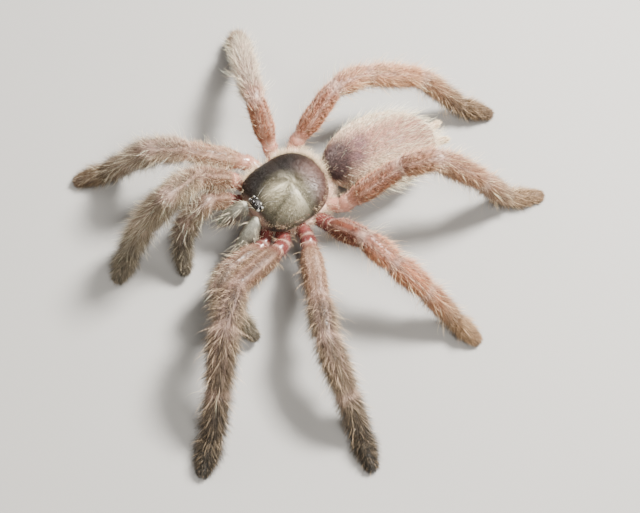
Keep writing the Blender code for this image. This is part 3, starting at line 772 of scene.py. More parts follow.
class Sweep:
    """A round form carried along a path whose corners are softened.

    The centre line is the polyline through the joints, sampled finely and averaged with a
    bell-shaped window. Across it stand two directions: side = along x up-axis, and
    upward = side x along. A point at length s and angle a is
    centre(s) + radius(s) (cos(a) side(s) + sin(a) upward(s)).
    """

    STEEPEST = 6.0
    RADIUS_SOFTNESS = 0.4
    CAP_LENGTH = 1.2
    CAP_ROWS = 4
    LEAST_ROWS = 8

    def __init__(
        self,
        joints: Array,
        radius_at: Array,
        radii: Array,
        softness: float = 0.9,
        start_round: float = 0.6,
        end_round: float = 1.2,
        step: float = 0.1,
    ) -> None:
        """Works out the centre line, its frame and its radii.

        Args:
            joints: corner points of the path, count by 3.
            radius_at: stations, in joints and parts of a stretch, where radii are given.
            radii: the radius at each of those stations.
            softness: width of the window that softens corners and radii.
            start_round: length over which the start is rounded off.
            end_round: length over which the end is rounded off.
            step: spacing of the samples.
        """
        spans = np.linalg.norm(np.diff(joints, axis=0), axis=1)
        reach = np.concatenate([[0.0], np.cumsum(spans)])
        self.length = float(reach[-1])
        count = int(self.length / step) + 1
        self.along = np.linspace(0.0, self.length, count)
        step = self.along[1]
        self.station = np.interp(self.along, reach, np.arange(len(joints)))
        centre = np.stack([np.interp(self.along, reach, part) for part in joints.T], axis=1)
        self.centre = self.softened(centre, softness / step)
        radius = np.interp(self.station, radius_at, radii)
        radius = self.softened(radius[:, None], self.RADIUS_SOFTNESS * softness / step)[:, 0]
        front = np.clip(1.0 - self.along / start_round, 0.0, 1.0)
        back = np.clip(1.0 - (self.length - self.along) / end_round, 0.0, 1.0)
        self.radius = radius * np.sqrt(1.0 - front**2) * np.sqrt(1.0 - back**2)
        self.slope = np.clip(np.gradient(self.radius, step), -self.STEEPEST, self.STEEPEST)
        self.tangent = unit(np.gradient(self.centre, axis=0))
        self.side = unit(np.cross(self.tangent, UP))
        self.upward = np.cross(self.side, self.tangent)

    @staticmethod
    def softened(values: Array, width: float) -> Array:
        """Values averaged along their first axis with a bell window, their ends kept.

        Args:
            values: rows of numbers.
            width: the window's width in rows.

        Returns:
            The averaged rows.
        """
        half = int(3 * width) + 1
        window = bell(np.arange(-half, half + 1), width)
        window /= window.sum()
        before = 2 * values[0] - values[half:0:-1]
        after = 2 * values[-1] - values[-2 : -half - 2 : -1]
        padded = np.concatenate([before, values, after])
        columns = [np.convolve(column, window, mode="same") for column in padded.T]
        return np.stack(columns, axis=1)[half:-half]

    def read(self, table: Array, along: Array) -> Array:
        """A table of rows along the path read at given lengths, by straight lines.

        Args:
            table: a number or a row for each sample.
            along: lengths from the start.

        Returns:
            A number or a row for each length.
        """
        if table.ndim == 1:
            return np.interp(along, self.along, table)
        columns = [np.interp(along, self.along, column) for column in table.T]
        return np.stack(columns, axis=-1)

    def frame_at(self, along: Array, angle: Array) -> tuple[Array, Array, Array]:
        """Points, outward and forward directions at lengths and angles of equal shape.

        With the ray from the centre line and the slope of the radius, outward is
        ray - slope * tangent and forward is tangent + slope * ray.

        Args:
            along: lengths from the start.
            angle: angles round the form.

        Returns:
            Points, outward and forward directions.
        """
        side = unit(self.read(self.side, along))
        upward = unit(self.read(self.upward, along))
        ray = side * np.cos(angle)[..., None] + upward * np.sin(angle)[..., None]
        radius = self.read(self.radius, along)
        points = self.read(self.centre, along) + ray * radius[..., None]
        tangent = unit(self.read(self.tangent, along))
        slope = self.read(self.slope, along)[..., None]
        return points, unit(ray - slope * tangent), unit(tangent + slope * ray)

    def grid(self, spacing: float, columns: int) -> tuple[Array, Array, Array]:
        """A grid over the form.

        Args:
            spacing: distance between rows.
            columns: points round each row.

        Returns:
            Points, lengths and angles, each with rows and columns.
        """
        rows = max(self.LEAST_ROWS, int(self.length / spacing))
        even = np.linspace(0.0, math.pi, 2 * self.CAP_ROWS - 1)[: self.CAP_ROWS]
        ends = (1.0 - np.cos(even)) * min(self.CAP_LENGTH, self.length / 4)
        middle = np.linspace(ends[-1], self.length - ends[-1], rows)[1:-1]
        lengths = np.concatenate([ends, middle, self.length - ends[::-1]])
        turns = np.linspace(0.0, FULL_TURN, columns, endpoint=False)
        along, angle = np.meshgrid(lengths, turns, indexing="ij")
        return self.frame_at(along, angle)[0], along, angle

    def scatter(
        self, count: int, density_at: Array, density: Array, rng: np.random.Generator
    ) -> tuple[Array, Array]:
        """Random lengths and angles, as many to each patch as its area and density ask.

        Args:
            count: how many places.
            density_at: stations where the density is given.
            density: the density at each of them.
            rng: the seeded source of chance.

        Returns:
            Lengths and angles.
        """
        weight = self.radius * np.interp(self.station, density_at, density)
        total = np.cumsum(weight)
        along = np.interp(rng.uniform(0.0, 1.0, count), total / total[-1], self.along)
        return along, rng.uniform(0.0, FULL_TURN, count)

    def roots(self, along: Array, angle: Array, colours: Array) -> Roots:
        """Roots at lengths and angles, with their places on the form's unwrap.

        Args:
            along: lengths from the start.
            angle: angles round the form.
            colours: one colour for each root.

        Returns:
            The roots.
        """
        points, outward, forward = self.frame_at(along, angle)
        places = np.stack([angle / FULL_TURN, along / self.length], axis=1)
        return Roots(points, outward, forward, places, colours)

    def area(self) -> float:
        """The form's surface in square millimetres."""
        return float(np.sum(FULL_TURN * self.radius) * self.along[1])


@dataclass(frozen=True)
class Pose:
    """How a limb is bent: headings and rises of its segments, in degrees."""

    yaws: tuple[float, ...]
    pitches: tuple[float, ...]


@dataclass(frozen=True)
class LimbTones:
    """The colours of a limb from its hip to its foot."""

    hip: Array
    thigh: Array
    shin: Array
    foot: Array
    bristle: Array


# Each leg gets its own lighter or darker copy of a few base tones, set to how brightly it is lit:
# painted light and shade, as in the darker feet of the first two left legs.
FRONT_TONES = LimbTones(
    Tone.HIP, Tone.FRONT_THIGH * 1.15, Tone.FRONT_SHIN * 1.3, Tone.FRONT_FOOT * 0.85, Tone.BUFF
)
GREY_TONES = LimbTones(
    Tone.PALE_HIP, Tone.FRONT_THIGH * 1.5, Tone.FRONT_SHIN * 2.9, Tone.FRONT_FOOT * 4.0, Tone.CREAM
)
PALP_TONES = LimbTones(
    Tone.HIP, Tone.FRONT_THIGH * 1.5, Tone.FRONT_SHIN * 2.3, Tone.FRONT_FOOT * 3.2, Tone.CREAM
)
MIXED_TONES = LimbTones(
    Tone.HIP, Tone.TAN_THIGH * 0.8, Tone.FRONT_SHIN * 1.8, Tone.FRONT_FOOT * 0.85, Tone.BUFF
)
TAN_TONES = LimbTones(
    Tone.PALE_HIP, Tone.TAN_THIGH, Tone.TAN_SHIN, Tone.REAR_FOOT, Tone.CREAM
)
PALE_TONES = LimbTones(
    Tone.PALE_HIP, Tone.REAR_THIGH * 1.1, Tone.REAR_SHIN * 1.25, Tone.REAR_FOOT, Tone.STRAW
)
REAR_TONES = LimbTones(
    Tone.PALE_HIP, Tone.REAR_THIGH, Tone.REAR_SHIN, Tone.REAR_FOOT * 1.3, Tone.STRAW
)
WHITISH_TONES = LimbTones(
    Tone.PALE_HIP, Tone.REAR_THIGH * 1.15, Tone.WHITISH_SHIN, Tone.TAN_SHIN, Tone.CREAM
)
RED_TONES = LimbTones(
    Tone.HIP, Tone.RED_THIGH, Tone.RED_SHIN, Tone.REAR_FOOT * 2.2, Tone.STRAW
)


@dataclass(frozen=True)
class LegLook:
    """How one leg looks: its colours, how bare its top is, its bristles and its fluff."""

    tones: LimbTones
    bare_top: float = 0.0
    bristles: float = 1.0
    fluff: float = 1.0


class Coats:
    """The finishes that several pieces share, each made once."""

    def __init__(self) -> None:
        """Makes the shared materials."""
        self.fur = CoatFinish("fur").material()
        self.bristle = CoatFinish("bristle", roughness=0.38, mottle=0.15).material()
        self.down = CoatFinish("shell_down", roughness=0.3, metallic=0.3, sheen=0.0).material()
        self.skin = SkinFinish("limb_skin", roughness=0.15, dull_rise=0.4, coat=0.15).material()
        self.belly = SkinFinish("belly_skin", roughness=0.6, sheen=0.2).material()
        self.shell = SkinFinish(
            "shell", roughness=0.5, relief=0.3, metallic=0.1, coat=0.06
        ).material()
        self.horn = SkinFinish("horn", roughness=0.18, relief=0.1, coat=0.6).material()
        self.eye = EyeFinish().material()


@dataclass(frozen=True)
class Profile:
    """A value along a form: pairs of station and value, and others back from its tip."""

    pairs: tuple[Pair, ...]
    from_tip: tuple[Pair, ...] = ()

    def table(self, last: float = 0.0) -> tuple[Array, Array]:
        """The stations and their values, for a form whose tip is at the last station.

        Args:
            last: the tip's station.

        Returns:
            Stations, and the value at each.
        """
        pairs = [*self.pairs, *[(last - back, value) for back, value in self.from_tip]]
        stations, values = np.array(pairs).T
        return stations, values

    def read(self, station: Array, last: float = 0.0) -> Array:
        """The value at each station, by straight lines."""
        return np.interp(station, *self.table(last))


@dataclass
class Limb:
    """A leg or palp as one unbroken skin from hip to tip, its fur and its bristles."""

    name: str
    pair: int
    side: int
    pose: Pose
    look: LegLook
    nap_density: float = 26.0
    nap_cover: Profile = Profile(
        ((0.0, 0.04), (0.7, 0.18), (1.1, 0.22), (1.25, 0.6), (1.5, 0.9)), ((0.0, 1.1),)
    )
    nap_length: Profile = Profile(
        ((1.0, 0.7), (1.6, 0.8), (2.2, 1.05)), ((1.0, 1.1), (0.3, 0.8), (0.0, 0.5))
    )
    plume_density: float = 15.0
    plume_cover: Profile = Profile(
        ((1.2, 0.05), (1.6, 0.3), (2.4, 1.0)), ((0.5, 1.0), (0.0, 0.2))
    )
    plume_length: Profile = Profile(
        ((1.2, 0.5), (2.0, 0.7), (2.6, 1.0)), ((0.8, 1.0), (0.0, 0.35))
    )
    plume_bareness: float = 1.3
    plume_paleness: Pair = (0.6, 0.4)
    plume_fade: Pair = (1.8, 0.6)
    bristle_density: float = 0.9
    bristle_cover: Profile = Profile(
        ((0.0, 0.05), (0.6, 0.9), (1.1, 0.7), (2.0, 1.0)), ((0.6, 1.0), (0.0, 0.3))
    )
    bristle_length: Profile = Profile(
        ((0.8, 0.45), (1.5, 0.6), (2.4, 1.0)), ((1.2, 0.9), (0.0, 0.3))
    )
    bristle_paleness: Pair = (0.4, 1.0)
    bristle_fade: Pair = (1.4, 0.5)
    bristle_tip_share: float = 0.5
    hip_inner_angles: tuple[float, ...] = (28.0, 57.0, 85.0, 113.0, 141.0)
    hip_inner_reach: Pair = (3.95, 5.1)
    hip_inner_middle: float = -0.6
    hip_inner_height: float = 6.7
    hip_outer: tuple[Triple, ...] = (
        (5.8, -9.2, 7.0),
        (8.2, -6.3, 8.0),
        (9.5, -1.7, 8.0),
        (9.5, 3.0, 8.0),
        (8.0, 7.3, 8.0),
    )
    lengths: tuple[tuple[float, ...], ...] = (
        (8.6, 5.0, 6.8, 7.0),
        (14.6, 8.2, 11.8, 10.6, 7.6),
        (13.4, 7.6, 10.6, 10.0, 7.5),
        (11.6, 6.4, 8.8, 9.6, 7.0),
        (14.4, 7.0, 12.0, 13.4, 7.8),
    )
    hip_steps: tuple[float, ...] = (0.0, 0.45, 0.88, 1.0, 1.05, 1.11, 1.16)
    hip_radii: tuple[float, ...] = (1.15, 1.6, 1.45, 1.4, 1.62, 1.65, 1.4)
    thigh_start: float = 0.23
    leg_radii: tuple[Triple, ...] = (
        (1.6, 2.05, 1.75),
        (1.75, 1.95, 1.75),
        (1.75, 1.95, 1.65),
        (1.6, 1.6, 1.5),
        (1.45, 1.6, 1.15),
    )
    radius_steps: Triple = (0.12, 0.42, 0.88)
    palp_scale: float = 0.88
    low_cut: Pair = (20.0, 26.0)
    plume_cut: float = 0.5
    bristle_cut: float = 0.7
    skin_depth: float = 0.08
    joint_pinch: float = 0.16
    tip_sizes: Pair = (0.86, 0.45)
    tip_back: float = 0.35
    pad_depth: float = 0.3
    palp_tip_height: float = 1.7
    columns: int = 32
    row_spacing: float = 0.34
    thigh_fade: Pair = (1.12, 1.36)
    shin_fade: Pair = (1.9, 2.5)
    foot_fade: Pair = (2.3, 0.9)
    pad_fade: Pair = (1.8, 1.1)
    pad_share: float = 0.85
    ring_width: float = 0.07
    ring_share: float = 0.85
    ring_margin: float = 1.5
    hip_rings: tuple[Pair, ...] = ((0.99, 0.035), (1.16, 0.015))
    hip_ring_share: float = 0.5
    violet_share: float = 0.3
    violet_place: Pair = (2.6, 1.1)
    belly_shade: float = 0.62
    side_fade: Pair = (0.1, 0.9)
    pad_edge: Pair = (0.35, 0.8)
    stripe_share: float = 0.5
    stripe_angle: float = 0.5
    stripe_width: float = 0.15
    stripe_start: Pair = (1.15, 1.45)
    stripe_end: Pair = (3.6, 3.9)
    stripe_gap: Pair = (2.0, 0.04)
    stripe_bareness: float = 0.55
    bare_top_width: float = 0.55
    bare_start: Pair = (1.1, 1.3)
    bare_end: Pair = (4.0, 4.6)
    joint_bareness: float = 0.25
    joint_start: Pair = (1.5, 1.7)
    bare_hip_end: Pair = (1.15, 1.35)
    # Skin under fur is painted darker, as shade between the hairs.
    skin_shade: Pair = (0.42, 0.5)
    bare_gloss: float = 0.8
    sweep: Sweep = field(init=False)
    joints: Array = field(init=False)

    def __post_init__(self) -> None:
        """Works out the joints and the swept form."""
        self.joints = self.joint_points()
        segments = self.segment_radii()
        radius_at = list(self.hip_steps)
        radii = list(self.hip_radii)
        for index, sizes in enumerate(segments):
            start, *rest = self.radius_steps
            if index:
                radius_at.append(index + 1.0)
                radii.append((1.0 - self.joint_pinch) * sizes[0])
            else:
                start = self.thigh_start
            radius_at += [index + 1.0 + step for step in (start, *rest)]
            radii += list(sizes)
        radius_at.append(len(segments) + 1.0)
        radii.append(segments[-1][2])
        scale = self.palp_scale if self.is_palp else 1.0
        radii = [size * scale - self.skin_depth for size in radii]
        self.sweep = Sweep(self.joints, np.array(radius_at), np.array(radii))

    @property
    def is_palp(self) -> bool:
        """Whether this is one of the two short limbs beside the jaws."""
        return self.pair == 0

    @property
    def last(self) -> float:
        """The tip's station, with one station for the hip and one for each segment."""
        return len(self.lengths[self.pair]) + 1.0

    def segment_radii(self) -> list[Triple]:
        """Start, belly and end radius of each segment after the hip.

        Returns:
            Three radii for each segment.
        """
        if self.is_palp:
            return [self.leg_radii[index] for index in (0, 1, 2, 4)]
        return list(self.leg_radii)

    def joint_points(self) -> Array:
        """Corner points from the hip's inner end to the tip.

        The metatarsus of a leg and the tarsus of a palp take up the height that is left,
        so that the tip comes to its own height over the floor.

        Returns:
            The points, count by 3.
        """
        lengths = self.lengths[self.pair]
        hip = np.array(self.hip_outer[self.pair]) * (self.side, 1.0, 1.0)
        pitches = list(self.pose.pitches)
        drops = [size * math.sin(math.radians(p)) for size, p in zip(lengths, pitches)]
        if self.is_palp:
            left_over = hip[2] + sum(drops) - self.palp_tip_height
        else:
            tarsus_drop = lengths[4] * math.sin(math.radians(pitches[3]))
            left_over = hip[2] + sum(drops[:3]) + tarsus_drop - self.tip_height(pitches[3])
        fitted = -math.degrees(math.asin(min(1.0, left_over / lengths[3])))
        pitches.insert(3, fitted)
        angle = math.radians(self.hip_inner_angles[self.pair])
        inner = np.array(
            [
                self.side * self.hip_inner_reach[0] * math.sin(angle),
                self.hip_inner_middle - self.hip_inner_reach[1] * math.cos(angle),
                self.hip_inner_height,
            ]
        )
        points = [inner, hip]
        for length, yaw, pitch in zip(lengths, self.pose.yaws, pitches):
            points.append(points[-1] + length * heading(yaw, pitch, self.side))
        return np.array(points)

    def tip_height(self, pitch: float) -> float:
        """Height of a leg's tip at which the pad under it just meets the floor.

        Args:
            pitch: the tarsus's rise in degrees.

        Returns:
            The height.
        """
        radius = self.leg_radii[-1][-1]
        slope = math.radians(pitch)
        pad = radius * self.tip_sizes[0] * math.cos(slope)
        back = radius * self.tip_back * math.sin(-slope)
        return pad - back - self.pad_depth

    def colours(self, along: Array, angle: Array) -> Array:
        """The marking at lengths and angles: hip, thigh, shin and foot, pale rings, stripes.

        Args:
            along: lengths from the hip's inner end.
            angle: angles round the limb, a quarter turn being its top.

        Returns:
            One colour for each.
        """
        station = self.sweep.read(self.sweep.station, along)
        tones = self.look.tones
        foot_fade = [self.last - back for back in self.foot_fade]
        pad_fade = [self.last - back for back in self.pad_fade]
        tone = blend(tones.hip, tones.thigh, smooth_step(station, *self.thigh_fade))
        tone = blend(tone, tones.shin, smooth_step(station, *self.shin_fade))
        tone = blend(tone, tones.foot, smooth_step(station, *foot_fade))
        tone = blend(tone, Tone.RING, self.stripe_share * self.stripe(station, angle))
        nearest = np.abs(station - np.round(station))
        inside = (station > self.ring_margin) & (station < self.last - self.ring_margin)
        tone = blend(tone, Tone.RING, self.ring_share * bell(nearest, self.ring_width) * inside)
        hip_rings = [bell(station - place, width) for place, width in self.hip_rings]
        tone = blend(tone, Tone.RING, self.hip_ring_share * np.maximum(*hip_rings))
        top = np.sin(angle)
        middle, reach = self.violet_place
        violet = self.violet_share * smooth_step(top, *self.side_fade)
        tone = blend(tone, Tone.VIOLET, violet * bell(station - middle, reach))
        tone = blend(tone, tone * self.belly_shade, smooth_step(-top, *self.side_fade))
        under = smooth_step(-top, *self.pad_edge) * smooth_step(station, *pad_fade)
        return blend(tone, Tone.PAD, self.pad_share * under)

    def stripe(self, station: Array, angle: Array) -> Array:
        """How much the two barer lines along the top show, from 0 to 1.

        Args:
            station: places along the limb.
            angle: angles round the limb, a quarter turn being its top.

        Returns:
            One share for each point.
        """
        lines = bell(np.abs(angle - QUARTER_TURN) - self.stripe_angle, self.stripe_width)
        ends = smooth_step(station, *self.stripe_start)
        ends = ends * (1.0 - smooth_step(station, *self.stripe_end))
        knee, gap = self.stripe_gap
        return lines * ends * (np.abs(station - knee) > gap)

    def bareness(self, station: Array, angle: Array) -> Array:
        """How thin the fur is: along the stripes, and on the top where it is worn.

        Args:
            station: places along the limb.
            angle: angles round the limb, a quarter turn being its top.

        Returns:
            One share for each point.
        """
        band = self.look.bare_top * bell(angle - QUARTER_TURN, self.bare_top_width)
        ends = smooth_step(station, *self.bare_start)
        ends = ends * (1.0 - smooth_step(station, *self.bare_end))
        joint = self.joint_bareness * bell(station - np.round(station), self.ring_width)
        joint = joint * smooth_step(station, *self.joint_start)
        stripe = self.stripe_bareness * self.stripe(station, angle)
        return np.maximum(np.maximum(stripe, band * ends), joint)

    def skin(self) -> Surface:
        """The limb's skin, darker and duller where fur covers it; the darkening is painted shade.

        Returns:
            The closed skin, with its dullness as fourth number.
        """
        grid, along, angle = self.sweep.grid(self.row_spacing, self.columns)
        along, angle = along.ravel(), angle.ravel()
        station = self.sweep.read(self.sweep.station, along)
        hip = 1.0 - smooth_step(station, *self.bare_hip_end)
        bare = np.maximum(hip, self.bareness(station, angle))
        shade, lighter = self.skin_shade
        # Painted shade between the hairs: the skin is darker where fur covers it.
        tones = self.colours(along, angle) * (shade + lighter * bare)[:, None]
        tones = np.concatenate([tones, 1.0 - self.bare_gloss * bare[:, None]], axis=1)
        return closed_grid(grid, tones.reshape(*grid.shape[:2], 4))

    def roots(
        self, count: int, cover: Profile, rng: np.random.Generator
    ) -> tuple[Roots, Array]:
        """Roots over the limb.

        Args:
            count: how many roots.
            cover: how densely they stand along the limb.
            rng: the seeded source of chance.

        Returns:
            The roots, and the station of each.
        """
        along, angle = self.sweep.scatter(count, *cover.table(self.last), rng)
        station = self.sweep.read(self.sweep.station, along)
        return self.sweep.roots(along, angle, self.colours(along, angle)), station

    def fur(self, rng: np.random.Generator) -> Surface:
        """The short coat, thin on the hip and shorter on the foot.

        Args:
            rng: the seeded source of chance.

        Returns:
            The hairs.
        """
        count = int(self.sweep.area() * self.nap_density)
        roots, station = self.roots(count, self.nap_cover, rng)
        bare = self.bareness(station, FULL_TURN * roots.places[:, 0])
        keep = rng.uniform(0.0, 1.0, count) > bare
        scale = self.nap_length.read(station[keep], self.last)
        return Hair.NAP.value.grow(roots.some(keep), rng, scale)

    def plumes(self, rng: np.random.Generator) -> Surface:
        """The longer, more upright fur that makes shin and foot look thick.

        Args:
            rng: the seeded source of chance.

        Returns:
            The hairs.
        """
        count = int(self.sweep.area() * self.plume_density * self.look.fluff)
        roots, station = self.roots(count, self.plume_cover, rng)
        bare = self.bareness(station, FULL_TURN * roots.places[:, 0])
        keep = rng.uniform(0.0, 1.0, count) > self.plume_bareness * bare
        roots, station = roots.some(keep), station[keep]
        shin, foot = self.plume_paleness
        toward_tip = smooth_step(station, *[self.last - back for back in self.plume_fade])
        pale = rng.uniform(0.0, 1.0, len(roots)) ** 3
        pale = pale * (shin - (shin - foot) * toward_tip)
        roots.colours = blend(roots.colours, self.look.tones.bristle, pale)
        scale = self.plume_length.read(station, self.last)
        high = smooth_step(roots.points[:, 2], *self.low_cut)
        scale = scale * self.look.fluff * (1.0 - self.plume_cut * high)
        return Hair.PLUME.value.grow(roots, rng, scale)

    def bristles(self, rng: np.random.Generator) -> Surface:
        """The long pale bristles, longest on shin and middle foot.

        Args:
            rng: the seeded source of chance.

        Returns:
            The hairs.
        """
        count = int(self.sweep.area() * self.bristle_density * self.look.bristles)
        roots, station = self.roots(count, self.bristle_cover, rng)
        toward_tip = smooth_step(station, *[self.last - back for back in self.bristle_fade])
        pale = rng.uniform(*self.bristle_paleness, count)
        pale = pale * (1.0 - self.bristle_tip_share * toward_tip)
        roots.colours = blend(roots.colours, self.look.tones.bristle, pale)
        scale = self.bristle_length.read(station, self.last)
        scale = scale * (self.palp_scale if self.is_palp else 1.0)
        high = smooth_step(roots.points[:, 2], *self.low_cut)
        scale = scale * (1.0 - self.bristle_cut * high)
        return Hair.BRISTLE.value.grow(roots, rng, scale)

    def build(self, coats: Coats, rng: np.random.Generator) -> None:
        """Makes the limb's pieces.

        Args:
            coats: the shared finishes.
            rng: the seeded source of chance.
        """
        ends = ("coxa", "femur", "tibia", "tarsus" if self.is_palp else "foot")
        nodes = [f"{self.name}_{end}" for end in ends]
        add_piece(f"{self.name}_skin", self.skin(), coats.skin, Slot.LEG, *nodes)
        fur = self.fur(rng).joined(self.plumes(rng))
        add_piece(f"{self.name}_fur", fur, coats.fur, Slot.LEG)
        add_piece(f"{self.name}_bristles", self.bristles(rng), coats.bristle, Slot.LEG)


@dataclass
class Shield:
    """The carapace: a glossy dark shell with a downy crown, radial streaks and a pale fringe."""

    width: float = 14.2
    widest_y: float = 1.2
    front_length: float = 9.3
    rear_length: float = 6.9
    front_bluntness: float = 4.4
    rear_bluntness: float = 2.2
    front_narrowing: float = 0.27
    edge_height: float = 10.0
    underside_height: float = 9.0
    thorax_rise: float = 2.9
    head_rise: float = 1.5
    head_y: float = -4.4
    head_half: Pair = (4.2, 4.4)
    pit_y: float = 2.0
    pit_depth: float = 0.8
    pit_half: Pair = (1.1, 0.7)
    # The crown is set off to the +X side: painted sheen there, with the -X side left dark as
    # painted shade.
    crown_and_sheen_centre: Pair = (2.3, -1.2)
    crown_half: Pair = (5.7, 6.2)
    crown_fade: Pair = (0.25, 1.1)
    crown_rear_share: float = 0.6
    dome_bluntness: float = 2.4
    streaks: int = 18
    streak_depth: float = 0.05
    streak_bend: float = 0.05
    streak_start: Pair = (1.2, 2.6)
    streak_end: Pair = (3.6, 6.2)
    streak_power: int = 8
    streak_share: float = 0.2
    neck_share: float = 0.45
    clypeus_share: float = 0.85
    rows: int = 46
    columns: int = 128
    rim: tuple[Pair, ...] = (
        (1.0, 0.35),
        (0.985, 0.75),
        (0.95, 1.0),
        (0.5, 1.0),
        (0.0, 1.0),
    )
    rim_edge_rows: int = 2
    down_count: int = 42000
    down_floor: float = 0.2
    down_disorder: float = 0.32
    down_shade: float = 1.3
    # Share of down hairs painted pale, as painted highlights along the hairs.
    down_highlight_share: float = 0.12
    fringe_count: int = 4600
    fringe_reach: Pair = (0.93, 1.0)
    fringe_lean: Triple = (0.0, 0.45, -0.15)
    fringe_disorder: float = 0.25
    left_fringe: float = 0.16
    red_fringe: float = 0.35

    def outline(self, turn: Array, reach: Array) -> tuple[Array, Array]:
        """Plan of the shell: blunt ovals, x = w cos^(2/b) and y = l sin^(2/b), times reach.

        Args:
            turn: angle round the shell, a quarter turn being its back.
            reach: 0 at its middle and 1 at its edge.

        Returns:
            Across and along.
        """
        across = np.cos(turn)
        along = np.sin(turn)
        front = along < 0
        bluntness = np.where(front, self.front_bluntness, self.rear_bluntness)
        length = np.where(front, self.front_length, self.rear_length)
        narrowing = np.where(front, self.front_narrowing * (along * reach) ** 2, 0.0)
        x = self.width / 2 * np.sign(across) * np.abs(across) ** (2 / bluntness) * reach
        y = length * np.sign(along) * np.abs(along) ** (2 / bluntness) * reach
        return x * (1.0 - narrowing), self.widest_y + y

    def streak(self, x: Array, y: Array) -> Array:
        """How much a radial furrow from the pit shows at a point, from 0 to 1.

        The lines are powers of 0.5 + 0.5 cos(streaks * turn), with the turn bent a little by
        slow waves, and they show more in some directions than in others.

        Args:
            x: across.
            y: along, towards the rear.

        Returns:
            One share for each point.
        """
        turn = np.arctan2(x, -(y - self.pit_y))
        distance = np.hypot(x, y - self.pit_y)
        waves = np.sin(distance * 1.3), np.sin(5.0 * turn + 0.7)
        bent = turn + self.streak_bend * waves[0] + self.streak_bend * waves[1]
        lines = np.cos(bent * self.streaks) * 0.5 + 0.5
        shown = 0.35 + 0.65 * np.sin(2.3 * turn + 0.9) ** 2
        ends = smooth_step(distance, *self.streak_start)
        ends = ends * (1.0 - smooth_step(distance, *self.streak_end))
        return lines**self.streak_power * shown * ends

    def height(self, x: Array, y: Array, reach: Array) -> Array:
        """Height of the shell: a dome, the head's swelling, the pit and the furrows.

        Args:
            x: across.
            y: along.
            reach: 0 at the middle and 1 at the edge.

        Returns:
            Heights over the floor.
        """
        rise = np.full(x.shape, self.thorax_rise)
        head = ((y - self.head_y) / self.head_half[1]) ** 2 + (x / self.head_half[0]) ** 2
        rise += self.head_rise * np.exp(-head)
        pit = ((y - self.pit_y) / self.pit_half[1]) ** 2 + (x / self.pit_half[0]) ** 2
        rise -= self.pit_depth * np.exp(-pit)
        rise -= self.streak_depth * self.streak(x, y)
        dome = np.sqrt(np.maximum(0.0, 1.0 - reach**self.dome_bluntness))
        return self.edge_height + rise * dome

    def point(self, turn: Array, reach: Array) -> Array:
        """Points of the shell's top."""
        x, y = self.outline(turn, reach)
        return np.stack([x, y, self.height(x, y, reach)], axis=-1)

    def crown(self, x: Array, y: Array) -> Array:
        """How much of the pale silvery down covers a point, from 0 to 1; set off to +X, where the
        crown's colour is partly painted sheen.

        Args:
            x: across.
            y: along.

        Returns:
            One share for each point.
        """
        off_x, off_y = self.crown_and_sheen_centre
        reach = np.hypot((x - off_x) / self.crown_half[0], (y - off_y) / self.crown_half[1])
        rear = self.crown_rear_share * smooth_step(y, 0.0, 5.0)
        return (1.0 - smooth_step(reach, *self.crown_fade)) * (1.0 - rear)

    def tones(self, points: Array) -> Array:
        """The shell's colours at its points: dark edge, grey crown, pale streaks, partly painted
        sheen and shade.

        Args:
            points: points of the shell's top.

        Returns:
            One colour for each.
        """
        x, y = points[:, 0], points[:, 1]
        # The crown and the rear's brown-violet lie off to +X: partly painted sheen there, and the
        # -X side is left dark as painted shade.
        crown = self.crown(x, y)
        rear = smooth_step(y, 1.5, 5.0) * smooth_step(x, -5.0, 1.0)
        tone = blend(Tone.SHELL_EDGE, Tone.SHELL_REAR, rear)
        tone = blend(tone, Tone.SHELL_CROWN, crown)
        neck = self.neck_share * bell(np.abs(x) - 2.3 + 0.35 * (y + 1.0), 0.4)
        neck = neck * smooth_step(-y, -1.5, 0.5)
        tone = blend(tone, Tone.SHELL_EDGE, neck * (1.0 - smooth_step(-y, 4.5, 6.0)))
        # Pale streaks over the crown: partly pale down, partly painted sheen.
        tone = blend(tone, Tone.SHELL_STREAK_AND_SHEEN, self.streak_share * self.streak(x, y) * crown)
        clypeus = self.clypeus_share * smooth_step(-y, 6.7, 7.7) * bell(x - 1.2, 4.0)
        return blend(tone, Tone.CLYPEUS, clypeus)

    def shell(self) -> Surface:
        """The whole shell with a rolled edge and a flat underside.

        Returns:
            The closed shell.
        """
        reach = np.sin(np.linspace(0.0, QUARTER_TURN, self.rows)) ** 0.9
        turns = np.linspace(FULL_TURN, 0.0, self.columns, endpoint=False)
        reaches, angle = np.meshgrid(reach, turns, indexing="ij")
        top = self.point(angle, reaches)
        tones = self.tones(top.reshape(-1, 3)).reshape(top.shape)
        rim = []
        for inset, drop in self.rim:
            x, y = self.outline(angle[-1], np.full(angle.shape[1], inset))
            depth = self.edge_height - drop * (self.edge_height - self.underside_height)
            rim.append(np.stack([x, y, np.full(x.shape, depth)], axis=-1))
        grid = np.concatenate([top, np.array(rim)])
        edge = np.broadcast_to(tones[-1], (self.rim_edge_rows, *tones.shape[1:]))
        dark_rows = len(rim) - self.rim_edge_rows
        dark = np.broadcast_to(Tone.UNDERSIDE, (dark_rows, *tones.shape[1:]))
        return closed_grid(grid, np.concatenate([tones, edge, dark]))

